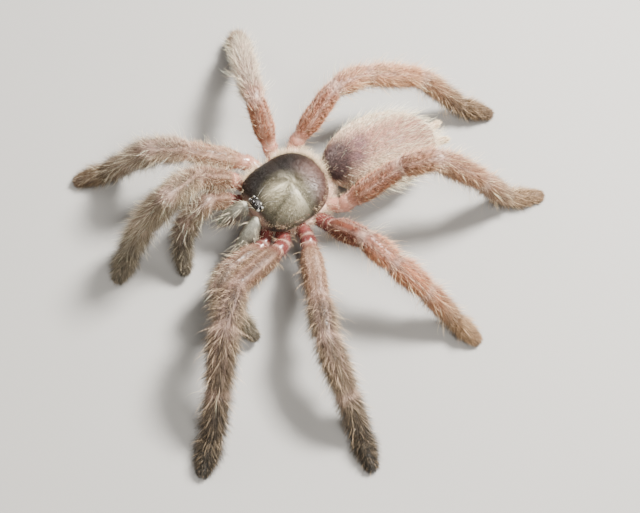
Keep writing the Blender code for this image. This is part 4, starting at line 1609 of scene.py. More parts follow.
    def down(self, rng: np.random.Generator) -> Surface:
        """Short shiny down that runs out from the pit.

        Args:
            rng: the seeded source of chance.

        Returns:
            The hairs.
        """
        reach = np.sqrt(rng.uniform(0.0, 0.96, self.down_count))
        turn = rng.uniform(0.0, FULL_TURN, len(reach))
        wanted = self.down_floor + self.crown(*self.outline(turn, reach))
        kept = rng.uniform(0.0, 1.0, len(reach)) < wanted
        reach, turn = reach[kept], turn[kept]
        points = self.point(turn, reach)
        inner = self.point(turn, np.maximum(reach - NUDGE, 0.0))
        radial = unit(points - inner + TINY)
        around = unit(self.point(turn + NUDGE, reach) - points + TINY)
        outward = unit(np.cross(radial, around))
        outward = outward * np.sign(outward[:, 2:3] + TINY)
        away = unit(points - np.array([0.0, self.pit_y, points[:, 2].mean()]))
        lie = flattened(away + rng.normal(0.0, self.down_disorder, away.shape), outward)
        tones = self.tones(points) * self.down_shade
        # Painted highlights: some down hairs made pale over the crown.
        pale = rng.uniform(0.0, 1.0, len(reach)) < self.down_highlight_share
        pale = pale * rng.uniform(0.3, 0.9, len(reach))
        pale = pale * smooth_step(self.crown(*self.outline(turn, reach)), 0.1, 0.45)
        tones = blend(tones, Tone.SHELL_STREAK_AND_SHEEN, pale * (1.0 - smooth_step(reach, 0.75, 0.98)))
        roots = Roots(points, outward, lie, plan_places(points), tones)
        return Hair.SHELL_DOWN.value.grow(roots, rng)

    def fringe(self, rng: np.random.Generator) -> Surface:
        """The hairs that stand out along the edge, shorter and sparser on the left side.

        Args:
            rng: the seeded source of chance.

        Returns:
            The hairs.
        """
        turn = rng.uniform(0.0, FULL_TURN, self.fringe_count)
        across, back = np.cos(turn), np.sin(turn)
        tufted = 0.3 + 0.14 * np.sin(9.0 * turn + 1.0) + 0.12 * np.sin(23.0 * turn)
        tufted += 0.4 * smooth_step(back - across, 0.2, 1.2)
        tufted -= 0.35 * smooth_step(-back, 0.3, 0.9)
        left = smooth_step(across, -0.2, 0.5)
        tufted = tufted * (1.0 - left) + self.left_fringe * left
        kept = rng.uniform(0.0, 1.0, len(turn)) < tufted
        turn, left, back = turn[kept], left[kept], back[kept]
        reach = rng.uniform(*self.fringe_reach, len(turn))
        reach = reach - 0.07 * left * rng.uniform(0.0, 1.0, len(turn))
        edge = np.ones_like(turn)
        along = unit(self.point(turn + NUDGE, edge) - self.point(turn, edge))
        out = unit(np.cross(along, UP))
        disorder = rng.normal(0.0, self.fringe_disorder, out.shape)
        lie = unit(out + np.array(self.fringe_lean) + disorder * (1 + 1.2 * left[:, None]))
        outward = flattened(np.broadcast_to(UP, lie.shape), lie)
        tones = blend(Tone.CREAM, Tone.BUFF, rng.uniform(0.0, 1.0, len(turn)))
        tones = blend(tones, Tone.STRAW * 0.85, left * rng.uniform(0.2, 1.0, len(turn)))
        red = rng.uniform(0.0, 1.0, len(turn)) < self.red_fringe
        tones = blend(tones, Tone.HIP * 1.6, left * red * 0.8)
        front = smooth_step(-back, 0.45, 0.9)
        scale = 1.0 - 0.55 * front + 0.25 * smooth_step(back, 0.3, 0.9)
        points = self.point(turn, reach)
        roots = Roots(points, outward, lie, plan_places(points), tones)
        return Hair.FRINGE.value.grow(roots, rng, scale * (1.0 - 0.45 * left))

    def build(self, coats: Coats, rng: np.random.Generator) -> None:
        """Makes the shell's pieces.

        Args:
            coats: the shared finishes.
            rng: the seeded source of chance.
        """
        add_piece("carapace_shell", self.shell(), coats.shell, Slot.SHIELD, "carapace")
        add_piece("carapace_down", self.down(rng), coats.down, Slot.SHIELD)
        add_piece("carapace_fringe", self.fringe(rng), coats.bristle, Slot.SHIELD)


def oval(
    centre: Triple,
    half: Triple,
    tone: Array,
    rows: int = 24,
    columns: int = 40,
) -> Surface:
    """An ellipsoid: centre + half * (sin(v) cos(u), sin(v) sin(u), cos(v)).

    Args:
        centre: its middle.
        half: its half axes.
        tone: its colour.
        rows: rows from pole to pole.
        columns: points round each row.

    Returns:
        The closed surface.
    """
    down = np.linspace(0.0, math.pi, rows)
    turns = np.linspace(FULL_TURN, 0.0, columns, endpoint=False)
    v, u = np.meshgrid(down, turns, indexing="ij")
    sphere = np.stack([np.sin(v) * np.cos(u), np.sin(v) * np.sin(u), np.cos(v)], axis=-1)
    grid = np.array(centre) + np.array(half) * sphere
    return closed_grid(grid, np.broadcast_to(tone, grid.shape))


@dataclass
class EyeCluster:
    """The dark mound at the front of the shield, with its eight eyes and long hairs."""

    shield: Shield
    mound_y: float = -6.8
    mound_half: Triple = (1.6, 1.15, 0.95)
    mound_lift: float = 0.05
    mound_shade: float = 0.6
    eyes: tuple[tuple[str, float, float, float], ...] = (
        ("front_inner", 0.44, -0.40, 0.34),
        ("front_outer", 1.22, -0.50, 0.34),
        ("rear_outer", 1.26, 0.34, 0.30),
        ("rear_inner", 0.58, 0.52, 0.24),
    )
    eye_swell: float = 1.22
    pearl_fade: Pair = (0.4, 0.75)
    hair_count: int = 170
    hair_band: Pair = (0.0, 0.55)
    hair_clearance: float = 0.22
    long_hair_lift: float = 0.45
    long_hair_spots: tuple[Triple, ...] = (
        (0.35, 0.95, 1.0),
        (-0.35, 0.95, 1.0),
        (0.95, 0.75, 1.0),
        (-0.95, 0.75, 1.0),
        (0.0, -0.9, -1.0),
        (0.7, -1.0, -1.0),
        (-0.7, -1.0, -1.0),
    )

    def mound_height(self) -> float:
        """Height of the mound's middle, on the shield's top.

        Returns:
            The height over the floor.
        """
        reach = (self.mound_y - self.shield.widest_y) / -self.shield.front_length
        top = self.shield.height(np.zeros(1), np.full(1, self.mound_y), np.full(1, reach))
        return float(top[0]) + self.mound_lift

    def middle(self) -> Array:
        """The middle of the mound."""
        return np.array([0.0, self.mound_y, self.mound_height()])

    def eye_places(self) -> list[tuple[str, Triple, float]]:
        """Name, centre and radius of each eye.

        Returns:
            One entry for each of the eight.
        """
        places = []
        for name, across, along, radius in self.eyes:
            flat = (across / self.mound_half[0]) ** 2 + (along / self.mound_half[1]) ** 2
            lift = self.mound_half[2] * math.sqrt(max(0.05, 1.0 - flat))
            for side_name, side in SIDES.items():
                centre = (side * across, self.mound_y + along, self.mound_height() + lift)
                places.append((f"eye_{side_name}_{name}", centre, radius))
        return places

    def eye(self, name: str, place: Triple, radius: float) -> Surface:
        """One eye: black in the middle pair, pearly with a dark rim in the others; the pearly part
        is partly a painted reflection.

        Args:
            name: the eye's name.
            place: its centre.
            radius: the radius of its solid.

        Returns:
            The eye's ball.
        """
        size = radius * self.eye_swell
        ball = oval(place, (size,) * 3, Tone.EYE, rows=28, columns=40)
        if "front_inner" in name:
            return ball
        facing = unit(np.array(place) - self.middle())
        outward = (ball.points - np.array(place)) / size
        # Pearly where the eye faces away from the mound: partly painted reflection.
        pearly = smooth_step(outward @ facing, *self.pearl_fade)
        ball.colours = blend(ball.colours, Tone.PEARL, pearly)
        return ball

    def hairs(self, rng: np.random.Generator) -> Surface:
        """Short hairs round the mound, clear of the eyes.

        Args:
            rng: the seeded source of chance.

        Returns:
            The hairs.
        """
        outward = random_rays(rng, self.hair_count, *self.hair_band)
        points = self.middle() + outward * np.array(self.mound_half)
        away = unit(0.5 * REARWARD + outward * (1.0, 1.0, 0.0))
        lie = flattened(away, outward, share=0.9)
        tones = np.broadcast_to(Tone.BUFF, points.shape)
        roots = Roots(points, outward, lie, plan_places(points), tones)
        roots = roots.some(self.clear_of_eyes(points))
        return Hair.SHELL_DOWN.value.grow(roots, rng, scale=1.3)

    def clear_of_eyes(self, points: Array) -> Array:
        """Which of the points are far enough from every eye.

        Args:
            points: where hairs would stand.

        Returns:
            A mask.
        """
        clear = [
            np.linalg.norm(points - np.array(centre), axis=1) > radius + self.hair_clearance
            for _, centre, radius in self.eye_places()
        ]
        return np.all(clear, axis=0)

    def long_hairs(self, rng: np.random.Generator) -> Surface:
        """The long pale bristles behind the eyes and in front of them.

        Each spot is across, along, and 1 or -1 for a hair that leans back or forward.

        Args:
            rng: the seeded source of chance.

        Returns:
            The hairs.
        """
        spots = np.array(self.long_hair_spots)
        points = self.middle() + self.long_hair_lift * UP + spots * (1.0, 1.0, 0.0)
        level = np.zeros(len(spots))
        lie = unit(np.stack([spots[:, 0] * 0.3, spots[:, 2], level], axis=1))
        outward = np.broadcast_to(UP, points.shape)
        tones = np.broadcast_to(Tone.CREAM, points.shape)
        roots = Roots(points, outward, lie, plan_places(points), tones)
        return Hair.BRISTLE.value.grow(roots, rng, scale=1.05)

    def build(self, coats: Coats, rng: np.random.Generator) -> None:
        """Makes the mound, the eyes and their hairs.

        Args:
            coats: the shared finishes.
            rng: the seeded source of chance.
        """
        tone = Tone.SHELL_EDGE * self.mound_shade
        mound = oval(self.middle(), self.mound_half, tone, rows=32, columns=56)
        add_piece("eye_mound_shell", mound, coats.shell, Slot.SHIELD, "eye_mound")
        for name, place, radius in self.eye_places():
            add_piece(f"{name}_ball", self.eye(name, place, radius), coats.eye, Slot.EYE, name)
        hairs = self.hairs(rng).joined(self.long_hairs(rng))
        add_piece("eye_mound_hairs", hairs, coats.bristle, Slot.SHIELD)


@dataclass(frozen=True)
class Spot:
    """A soft oval patch: its middle and half axes, across and along a rounded form."""

    middle: Pair
    half: Pair

    def shown(self, across: Array, back: Array) -> Array:
        """How much of the patch shows at a point, from 0 to 1.

        Args:
            across: places across.
            back: places along.

        Returns:
            One share for each point.
        """
        reach = np.hypot(
            (across - self.middle[0]) / self.half[0], (back - self.middle[1]) / self.half[1]
        )
        return bell(reach, 1.0)


@dataclass
class Abdomen:
    """The egg-shaped rear body with its velvet, its bristles, stalk and spinnerets."""

    front: Triple = (0.1, 8.8, 8.9)
    length: float = 23.6
    width: float = 15.6
    height: float = 12.4
    yaw: float = 13.0
    droop: float = 4.0
    skin_depth: float = 0.1
    coat_reach: Pair = (-0.97, 0.985)
    nap_count: int = 38000
    bristle_count: int = 2600
    bristle_cover: Profile = Profile(((-0.9, 0.04), (-0.3, 0.5), (1.0, 1.0)))
    bristle_length: Profile = Profile(((-1.0, 0.45), (0.0, 0.95), (1.0, 1.15)))
    stalk: tuple[Triple, ...] = ((0.0, 5.3, 7.6), (0.2, 9.2, 7.9))
    stalk_radius: float = 1.0
    fullness: Pair = (0.05, 0.06)
    flatter_below: float = 0.92
    dark_patch: Spot = Spot((0.0, -0.86), (0.66, 0.34))
    dark_share: float = 1.5
    violet_patches: tuple[Spot, ...] = (
        Spot((-0.1, -0.4), (0.3, 0.16)),
        Spot((0.25, -0.5), (0.22, 0.12)),
    )
    violet_share: float = 0.6
    pale_sides: Pair = (0.15, 0.75)
    rear_share: float = 0.6
    under_share: float = 0.35
    rows: int = 90
    columns: int = 96
    # The skin is painted darker under the coat, as shade between the hairs.
    skin_shade: float = 0.4
    spinneret_length: float = 3.4
    spinneret_radius: float = 0.72
    spinneret_spread: float = 14.0
    spinneret_offset: float = 1.25
    spinneret_sink: float = 0.55
    spinneret_joints: tuple[float, ...] = (0.0, 0.4, 0.75, 1.0)
    spinneret_steps: tuple[float, ...] = (0.0, 0.5, 1.0, 1.1, 2.0, 2.1, 3.0)
    spinneret_sizes: tuple[float, ...] = (1.0, 1.0, 0.85, 0.9, 0.72, 0.75, 0.5)
    spinneret_shade: float = 0.8
    spinneret_hairs: int = 420
    spinneret_cover: Profile = Profile(((0.0, 1.0), (3.0, 1.0)))

    def turn(self) -> Array:
        """The rotation from the rear body's own axis to its place.

        Returns:
            A 3 by 3 matrix.
        """
        yaw = -math.radians(self.yaw)
        droop = -math.radians(self.droop)
        level = np.array(
            [[math.cos(yaw), -math.sin(yaw), 0], [math.sin(yaw), math.cos(yaw), 0], [0, 0, 1]]
        )
        low, high = math.sin(droop), math.cos(droop)
        return level @ np.array([[1, 0, 0], [0, high, -low], [0, low, high]])

    def point(self, latitude: Array, angle: Array) -> Array:
        """Points of the egg by their angles along and round its length.

        With y = sin(latitude), the section is the unit ring of radius cos(latitude)
        times the fullness 1 + egg y - slim y^2, and is flatter below than above.

        Args:
            latitude: from minus a quarter turn at the front to plus one at the rear.
            angle: round the length, a quarter turn being the top.

        Returns:
            The points, in the animal's frame.
        """
        y = np.sin(latitude)
        ring = np.cos(latitude)
        x = ring * np.cos(angle)
        z = ring * np.sin(angle)
        egg, slim = self.fullness
        fullness = 1.0 + egg * y - slim * y * y
        low = np.where(z < 0, self.flatter_below, 1.0)
        shape = np.stack(
            [
                x * (self.width / 2 - self.skin_depth) * fullness,
                self.skin_depth + (y + 1.0) / 2.0 * (self.length - 2 * self.skin_depth),
                z * (self.height / 2 - self.skin_depth) * fullness * low,
            ],
            axis=-1,
        )
        return shape @ self.turn().T + np.array(self.front)

    def tones(self, latitude: Array, angle: Array) -> Array:
        """The marking: a dark violet patch at the front of the back, paler sides and rear.

        Args:
            latitude: along the length.
            angle: round the length.

        Returns:
            One colour for each.
        """
        y = np.sin(latitude)
        top = np.sin(angle)
        across = np.cos(latitude) * np.cos(angle)
        pale = smooth_step(np.abs(across), *self.pale_sides)
        tone = blend(Tone.BELLY, Tone.BELLY_PALE, pale)
        tone = blend(tone, Tone.BELLY, self.rear_share * smooth_step(y, 0.4, 1.0))
        dark = self.dark_patch.shown(across, y)
        dark = self.dark_share * dark * smooth_step(top, -0.1, 0.4)
        tone = blend(tone, Tone.BELLY_PATCH, dark)
        violet = np.maximum(*[patch.shown(across, y) for patch in self.violet_patches])
        violet = self.violet_share * violet * smooth_step(top, 0.0, 0.5)
        tone = blend(tone, Tone.VIOLET, violet)
        return blend(tone, Tone.UNDERSIDE, self.under_share * smooth_step(-top, 0.2, 0.8))

    def skin(self) -> Surface:
        """The egg's skin, darker than the coat over it as painted shade between the hairs.

        Returns:
            The closed skin.
        """
        along = np.linspace(-QUARTER_TURN, QUARTER_TURN, self.rows)
        turns = np.linspace(FULL_TURN, 0.0, self.columns, endpoint=False)
        latitude, angle = np.meshgrid(along, turns, indexing="ij")
        grid = self.point(latitude, angle)
        tones = self.tones(latitude.ravel(), angle.ravel()).reshape(grid.shape)
        # Skin darkened under the coat: painted shade between the hairs.
        return closed_grid(grid, tones * self.skin_shade)

    def roots(self, count: int, rng: np.random.Generator) -> tuple[Roots, Array]:
        """Roots spread evenly over the egg.

        Args:
            count: how many roots.
            rng: the seeded source of chance.

        Returns:
            The roots, and how far back each stands, from -1 to 1.
        """
        latitude = np.arcsin(rng.uniform(*self.coat_reach, count))
        angle = rng.uniform(0.0, FULL_TURN, count)
        points = self.point(latitude, angle)
        lie = unit(self.point(latitude + NUDGE, angle) - points)
        around = self.point(latitude, angle + NUDGE) - points
        outward = unit(np.cross(lie, around))
        places = np.stack([angle / FULL_TURN, 0.5 + np.sin(latitude) / 2], axis=1)
        return Roots(points, outward, lie, places, self.tones(latitude, angle)), np.sin(latitude)

    def velvet(self, rng: np.random.Generator) -> Surface:
        """The short flat coat."""
        roots, _ = self.roots(self.nap_count, rng)
        return Hair.BELLY_NAP.value.grow(roots, rng)

    def bristles(self, rng: np.random.Generator) -> Surface:
        """The long pale bristles, longer and denser towards the rear.

        Args:
            rng: the seeded source of chance.

        Returns:
            The hairs.
        """
        roots, back = self.roots(self.bristle_count, rng)
        keep = rng.uniform(0.0, 1.0, len(back)) < self.bristle_cover.read(back)
        roots, back = roots.some(keep), back[keep]
        pale = rng.uniform(0.5, 1.0, len(back))
        roots.colours = blend(roots.colours, Tone.CREAM, pale)
        return Hair.BELLY_BRISTLE.value.grow(roots, rng, self.bristle_length.read(back))

    def spinneret(self, side: int) -> Sweep:
        """One long spinneret in three joints.

        Args:
            side: 1 for left and -1 for right.

        Returns:
            Its swept form.
        """
        spread = math.radians(self.spinneret_spread) * side
        root = np.array([side * self.spinneret_offset, self.length - self.spinneret_sink, -0.6])
        out = unit(np.array([math.sin(spread), math.cos(spread), 0.12]))
        steps = np.array(self.spinneret_joints)[:, None]
        joints = root + out * self.spinneret_length * steps
        joints = joints @ self.turn().T + np.array(self.front)
        return Sweep(
            joints,
            np.array(self.spinneret_steps),
            np.array(self.spinneret_sizes) * self.spinneret_radius,
            softness=0.25,
            start_round=0.3,
            end_round=0.5,
            step=0.05,
        )

    def build(self, coats: Coats, rng: np.random.Generator) -> None:
        """Makes the rear body's pieces.

        Args:
            coats: the shared finishes.
            rng: the seeded source of chance.
        """
        add_piece("abdomen_skin", self.skin(), coats.belly, Slot.ABDOMEN, "abdomen")
        add_piece("abdomen_velvet", self.velvet(rng), coats.fur, Slot.ABDOMEN)
        add_piece("abdomen_bristles", self.bristles(rng), coats.bristle, Slot.ABDOMEN)
        for side_name, side in SIDES.items():
            name = f"spinneret_{side_name}"
            sweep = self.spinneret(side)
            grid, _, _ = sweep.grid(spacing=0.12, columns=24)
            tone = Tone.BELLY * self.spinneret_shade
            skin = closed_grid(grid, np.broadcast_to(tone, grid.shape))
            add_piece(f"{name}_skin", skin, coats.belly, Slot.ABDOMEN, name)
            cover = self.spinneret_cover.table()
            along, angle = sweep.scatter(self.spinneret_hairs, *cover, rng)
            hairs = sweep.roots(along, angle, np.broadcast_to(Tone.BUFF, (len(along), 3)))
            fur = Hair.FOOT_NAP.value.grow(hairs, rng)
            add_piece(f"{name}_fur", fur, coats.fur, Slot.ABDOMEN)
        radii = np.array([self.stalk_radius] * 2)
        stalk = Sweep(
            np.array(self.stalk),
            np.array([0.0, 1.0]),
            radii,
            softness=0.3,
            start_round=0.3,
            end_round=0.3,
        )
        grid, _, _ = stalk.grid(spacing=0.3, columns=28)
        skin = closed_grid(grid, np.broadcast_to(Tone.PALE_HIP, grid.shape))
        add_piece("pedicel_skin", skin, coats.skin, Slot.HIP, "pedicel")


@dataclass
class Jaws:
    """The two furry jaw bases, their fangs and the maroon fringe between them."""

    root: Triple = (1.85, -8.0, 9.9)
    length: float = 7.4
    half_width: float = 1.5
    half_height: float = 1.85
    yaw: float = 14.0
    drop: float = 36.0
    middle_share: float = 0.42
    half_share: float = 0.58
    slimming: float = 0.14
    back_y: float = -8.2
    skin_depth: float = 0.06
    # The skin is painted darker under the fur, as shade between the hairs.
    skin_shade: float = 0.65
    rows: int = 40
    columns: int = 44
    under_fade: Pair = (0.2, 0.8)
    inner_fade: Pair = (0.45, 0.95)
    inner_share: float = 0.7
    red_start: Pair = (0.6, 1.6)
    nap_count: int = 15000
    coat_reach: float = 0.98
    red_reach: float = 0.12
    brush_share: float = 0.1
    brush_length: float = 0.7
    long_hair_shares: Pair = (0.0025, 0.008)
    long_hair_pale: float = 0.75
    fang_place: float = 0.86
    fang_gap: float = 0.3
    fang_length: float = 3.8
    fang_radius: float = 0.48
    fang_sag: float = 0.5
    fang_parts: Triple = (0.9, 0.12, 0.1)
    fang_taper: Profile = Profile(((0.0, 1.0), (0.3, 0.9), (0.65, 0.6), (1.0, 0.3)))
    fang_joints: int = 9

    def axes(self, side: int) -> tuple[Array, Array, Array]:
        """Directions of one jaw: along it, across it and upward.

        Args:
            side: 1 for left and -1 for right.

        Returns:
            The three directions.
        """
        along = heading(self.yaw, -self.drop, side)
        across = unit(np.cross(along, UP))
        return along, across, np.cross(across, along)

    def start(self, side: int) -> Array:
        """The root of one jaw's axis."""
        return np.array(self.root) * (side, 1.0, 1.0)

    def point(self, side: int, share: Array, angle: Array) -> Array:
        """Points of a jaw base: an egg along its axis that slims towards the tip.

        Args:
            side: 1 for left and -1 for right.
            share: angle from its root pole to its tip pole.
            angle: round its axis, a quarter turn being its top.

        Returns:
            The points.
        """
        along, across, upward = self.axes(side)
        x = -np.cos(share)
        ring = np.sin(share)
        slim = 1.0 - self.slimming * x
        wide = np.cos(angle) * ring * slim * (self.half_width - self.skin_depth)
        high = np.sin(angle) * ring * slim * (self.half_height - self.skin_depth)
        return (
            self.start(side)
            + along * self.length * self.middle_share
            + along * (x * (self.length * self.half_share - self.skin_depth))[..., None]
            + across * wide[..., None]
            + upward * high[..., None]
        )

    def skin(self, side: int) -> Surface:
        """One jaw base, darker than the fur over it as painted shade between the hairs.

        Args:
            side: 1 for left and -1 for right.

        Returns:
            The closed skin.
        """
        shares = np.linspace(0.0, math.pi, self.rows)
        turns = np.linspace(0.0, FULL_TURN, self.columns, endpoint=False)
        share, angle = np.meshgrid(shares, turns, indexing="ij")
        grid = self.point(side, share, angle)
        tones = self.tones(share.ravel(), angle.ravel(), side).reshape(grid.shape)
        # Skin darkened under the fur: painted shade between the hairs.
        return closed_grid(grid, tones * self.skin_shade)

    def tones(self, share: Array, angle: Array, side: int) -> Array:
        """Grey fur above that turns maroon on the inner and lower face.

        Args:
            share: angle from the root pole.
            angle: round the axis, a quarter turn being the top.
            side: 1 for left and -1 for right.

        Returns:
            One colour for each.
        """
        under = smooth_step(-np.sin(angle), *self.under_fade)
        inner = self.inner_share * smooth_step(np.cos(angle) * side, *self.inner_fade)
        red = np.maximum(under, inner) * smooth_step(share, *self.red_start)
        return blend(Tone.JAW, Tone.MAROON, red)

    def coat(self, side: int, rng: np.random.Generator) -> tuple[Surface, Surface]:
        """Short grey fur, and bristles with the maroon fringe on the inner edge.

        Args:
            side: 1 for left and -1 for right.
            rng: the seeded source of chance.

        Returns:
            The fur, and the bristles.
        """
        share = np.arccos(rng.uniform(-self.coat_reach, self.coat_reach, self.nap_count))
        angle = rng.uniform(0.0, FULL_TURN, self.nap_count)
        points = self.point(side, share, angle)
        lie = unit(self.point(side, share + NUDGE, angle) - points)
        around = self.point(side, share, angle + NUDGE) - points
        outward = unit(np.cross(around, lie))
        middle = self.start(side) + self.axes(side)[0] * self.length * self.middle_share
        outward = outward * np.sign(np.sum(outward * (points - middle), axis=1, keepdims=True))
        places = np.stack([angle / FULL_TURN, share / math.pi], axis=1)
        tones = self.tones(share, angle, side)
        roots = Roots(points, outward, lie, places, tones).some(points[:, 1] < self.back_y)
        nap = Hair.JAW_NAP.value.grow(roots, rng)
        red = np.linalg.norm(roots.colours - Tone.MAROON, axis=1) < self.red_reach
        red &= rng.uniform(0.0, 1.0, len(roots)) < self.brush_share
        fringe = Hair.BRUSH.value.grow(roots.some(red), rng, self.brush_length)
        left_share, right_share = self.long_hair_shares
        wanted = left_share if side > 0 else right_share
        picked = roots.some(rng.uniform(0.0, 1.0, len(roots)) < wanted)
        pale = np.full(len(picked), self.long_hair_pale)
        picked.colours = blend(picked.colours, Tone.CREAM, pale)
        long = Hair.BELLY_BRISTLE.value.grow(picked, rng, scale=0.75)
        return nap, fringe.joined(long)

    def fang(self, side: int) -> Surface:
        """A curved fang folded back under its jaw: it runs back, down and outward.

        Args:
            side: 1 for left and -1 for right.

        Returns:
            The closed horn.
        """
        along, across, upward = self.axes(side)
        below = self.half_height * self.fang_place + self.fang_gap
        base = self.start(side) + along * self.length * self.fang_place - upward * below
        backward, downward, outward = self.fang_parts
        back = -along * backward - upward * downward - across * outward * side
        steps = np.linspace(0.0, 1.0, self.fang_joints)
        sag = np.sin(math.pi * steps[:, None]) * self.fang_sag
        joints = base + back * self.fang_length * steps[:, None] - upward * sag
        sizes = self.fang_taper.read(steps) * self.fang_radius
        stations = np.arange(float(self.fang_joints))
        sweep = Sweep(
            joints, stations, sizes, softness=0.2, start_round=0.3, end_round=0.5, step=0.05
        )
        grid, _, _ = sweep.grid(spacing=0.12, columns=24)
        return closed_grid(grid, np.broadcast_to(Tone.FANG, grid.shape))

    def build(self, coats: Coats, rng: np.random.Generator) -> None:
        """Makes both jaws.

        Args:
            coats: the shared finishes.
            rng: the seeded source of chance.
        """
        for side_name, side in SIDES.items():
            jaw = f"chelicera_{side_name}"
            fang = f"fang_{side_name}"
            add_piece(f"{jaw}_skin", self.skin(side), coats.skin, Slot.JAW, jaw)
            nap, long = self.coat(side, rng)
            add_piece(f"{jaw}_fur", nap, coats.fur, Slot.JAW)
            add_piece(f"{jaw}_bristles", long, coats.bristle, Slot.JAW)
            add_piece(f"{fang}_horn", self.fang(side), coats.horn, Slot.FANG, fang)


@dataclass
class Underside:
    """The breastplate, the lip and the soft skin between the hips and the shield."""

    sternum_centre: Triple = (0.0, -0.6, 7.0)
    sternum_half: Triple = (3.3, 4.4, 1.2)
    lip_centre: Triple = (0.0, -6.1, 6.7)
    lip_half: Triple = (0.85, 0.75, 0.65)
    flank_centre: Triple = (0.0, 0.8, 8.2)
    flank_half: Triple = (7.6, 8.9, 1.5)
    plan_scale: float = 0.45
    fur_count: int = 3200
    fur_band: Pair = (-1.0, 0.1)
    fur_shade: float = 1.5
    fuzz_count: int = 4600
    fuzz_band: Pair = (-0.5, 0.6)
    fuzz_lie: Triple = (0.0, 0.8, 0.5)
    fuzz_disorder: float = 0.8
    hip_share: float = 0.3

    def fuzz(self, rng: np.random.Generator) -> Surface:
        """Pale fuzz on the soft skin that shows all round the shield's edge.

        Args:
            rng: the seeded source of chance.

        Returns:
            The hairs.
        """
        rays = random_rays(rng, self.fuzz_count, *self.fuzz_band)
        points = np.array(self.flank_centre) + rays * np.array(self.flank_half)
        outward = unit(rays / np.array(self.flank_half))
        disorder = rng.normal(0.0, self.fuzz_disorder, points.shape)
        lie = flattened(np.array(self.fuzz_lie) + disorder, outward)
        places = 0.5 + rays[:, :2] * self.plan_scale
        tones = blend(Tone.CREAM, Tone.PALE_HIP, rng.uniform(0.0, 1.0, len(rays)))
        return Hair.FUZZ.value.grow(Roots(points, outward, lie, places, tones), rng)

    def fur(self, rng: np.random.Generator) -> Surface:
        """Short fur on the breastplate's lower side, lying to the rear.

        Args:
            rng: the seeded source of chance.

        Returns:
            The hairs.
        """
        rays = random_rays(rng, self.fur_count, *self.fur_band)
        points = np.array(self.sternum_centre) + rays * np.array(self.sternum_half)
        outward = unit(rays / np.array(self.sternum_half))
        lie = flattened(np.broadcast_to(REARWARD, outward.shape), outward)
        places = 0.5 + rays[:, :2] * self.plan_scale
        tones = np.broadcast_to(Tone.UNDERSIDE * self.fur_shade, points.shape)
        return Hair.BELLY_NAP.value.grow(Roots(points, outward, lie, places, tones), rng)

    def build(self, coats: Coats, rng: np.random.Generator) -> None:
        """Makes the underside's pieces.

        Args:
            coats: the shared finishes.
            rng: the seeded source of chance.
        """
        plate = oval(self.sternum_centre, self.sternum_half, Tone.UNDERSIDE, rows=40, columns=56)
        add_piece("sternum_shell", plate, coats.shell, Slot.SHIELD, "sternum")
        lip = oval(self.lip_centre, self.lip_half, Tone.UNDERSIDE)
        add_piece("labium_shell", lip, coats.shell, Slot.SHIELD, "labium")
        tone = self.hip_share * Tone.HIP + (1.0 - self.hip_share) * Tone.RING
        flank = oval(self.flank_centre, self.flank_half, tone, rows=36, columns=64)
        add_piece("flank_skin", flank, coats.skin, Slot.HIP)
        add_piece("sternum_fur", self.fur(rng), coats.fur, Slot.SHIELD)
        add_piece("flank_fuzz", self.fuzz(rng), coats.bristle, Slot.HIP)


@dataclass(frozen=True)
class Lamp:
    """A soft square light: its azimuth from the camera's, its rise, its side and its power."""

    name: str
    turn: float
    rise: float
    side: float
    watts: float


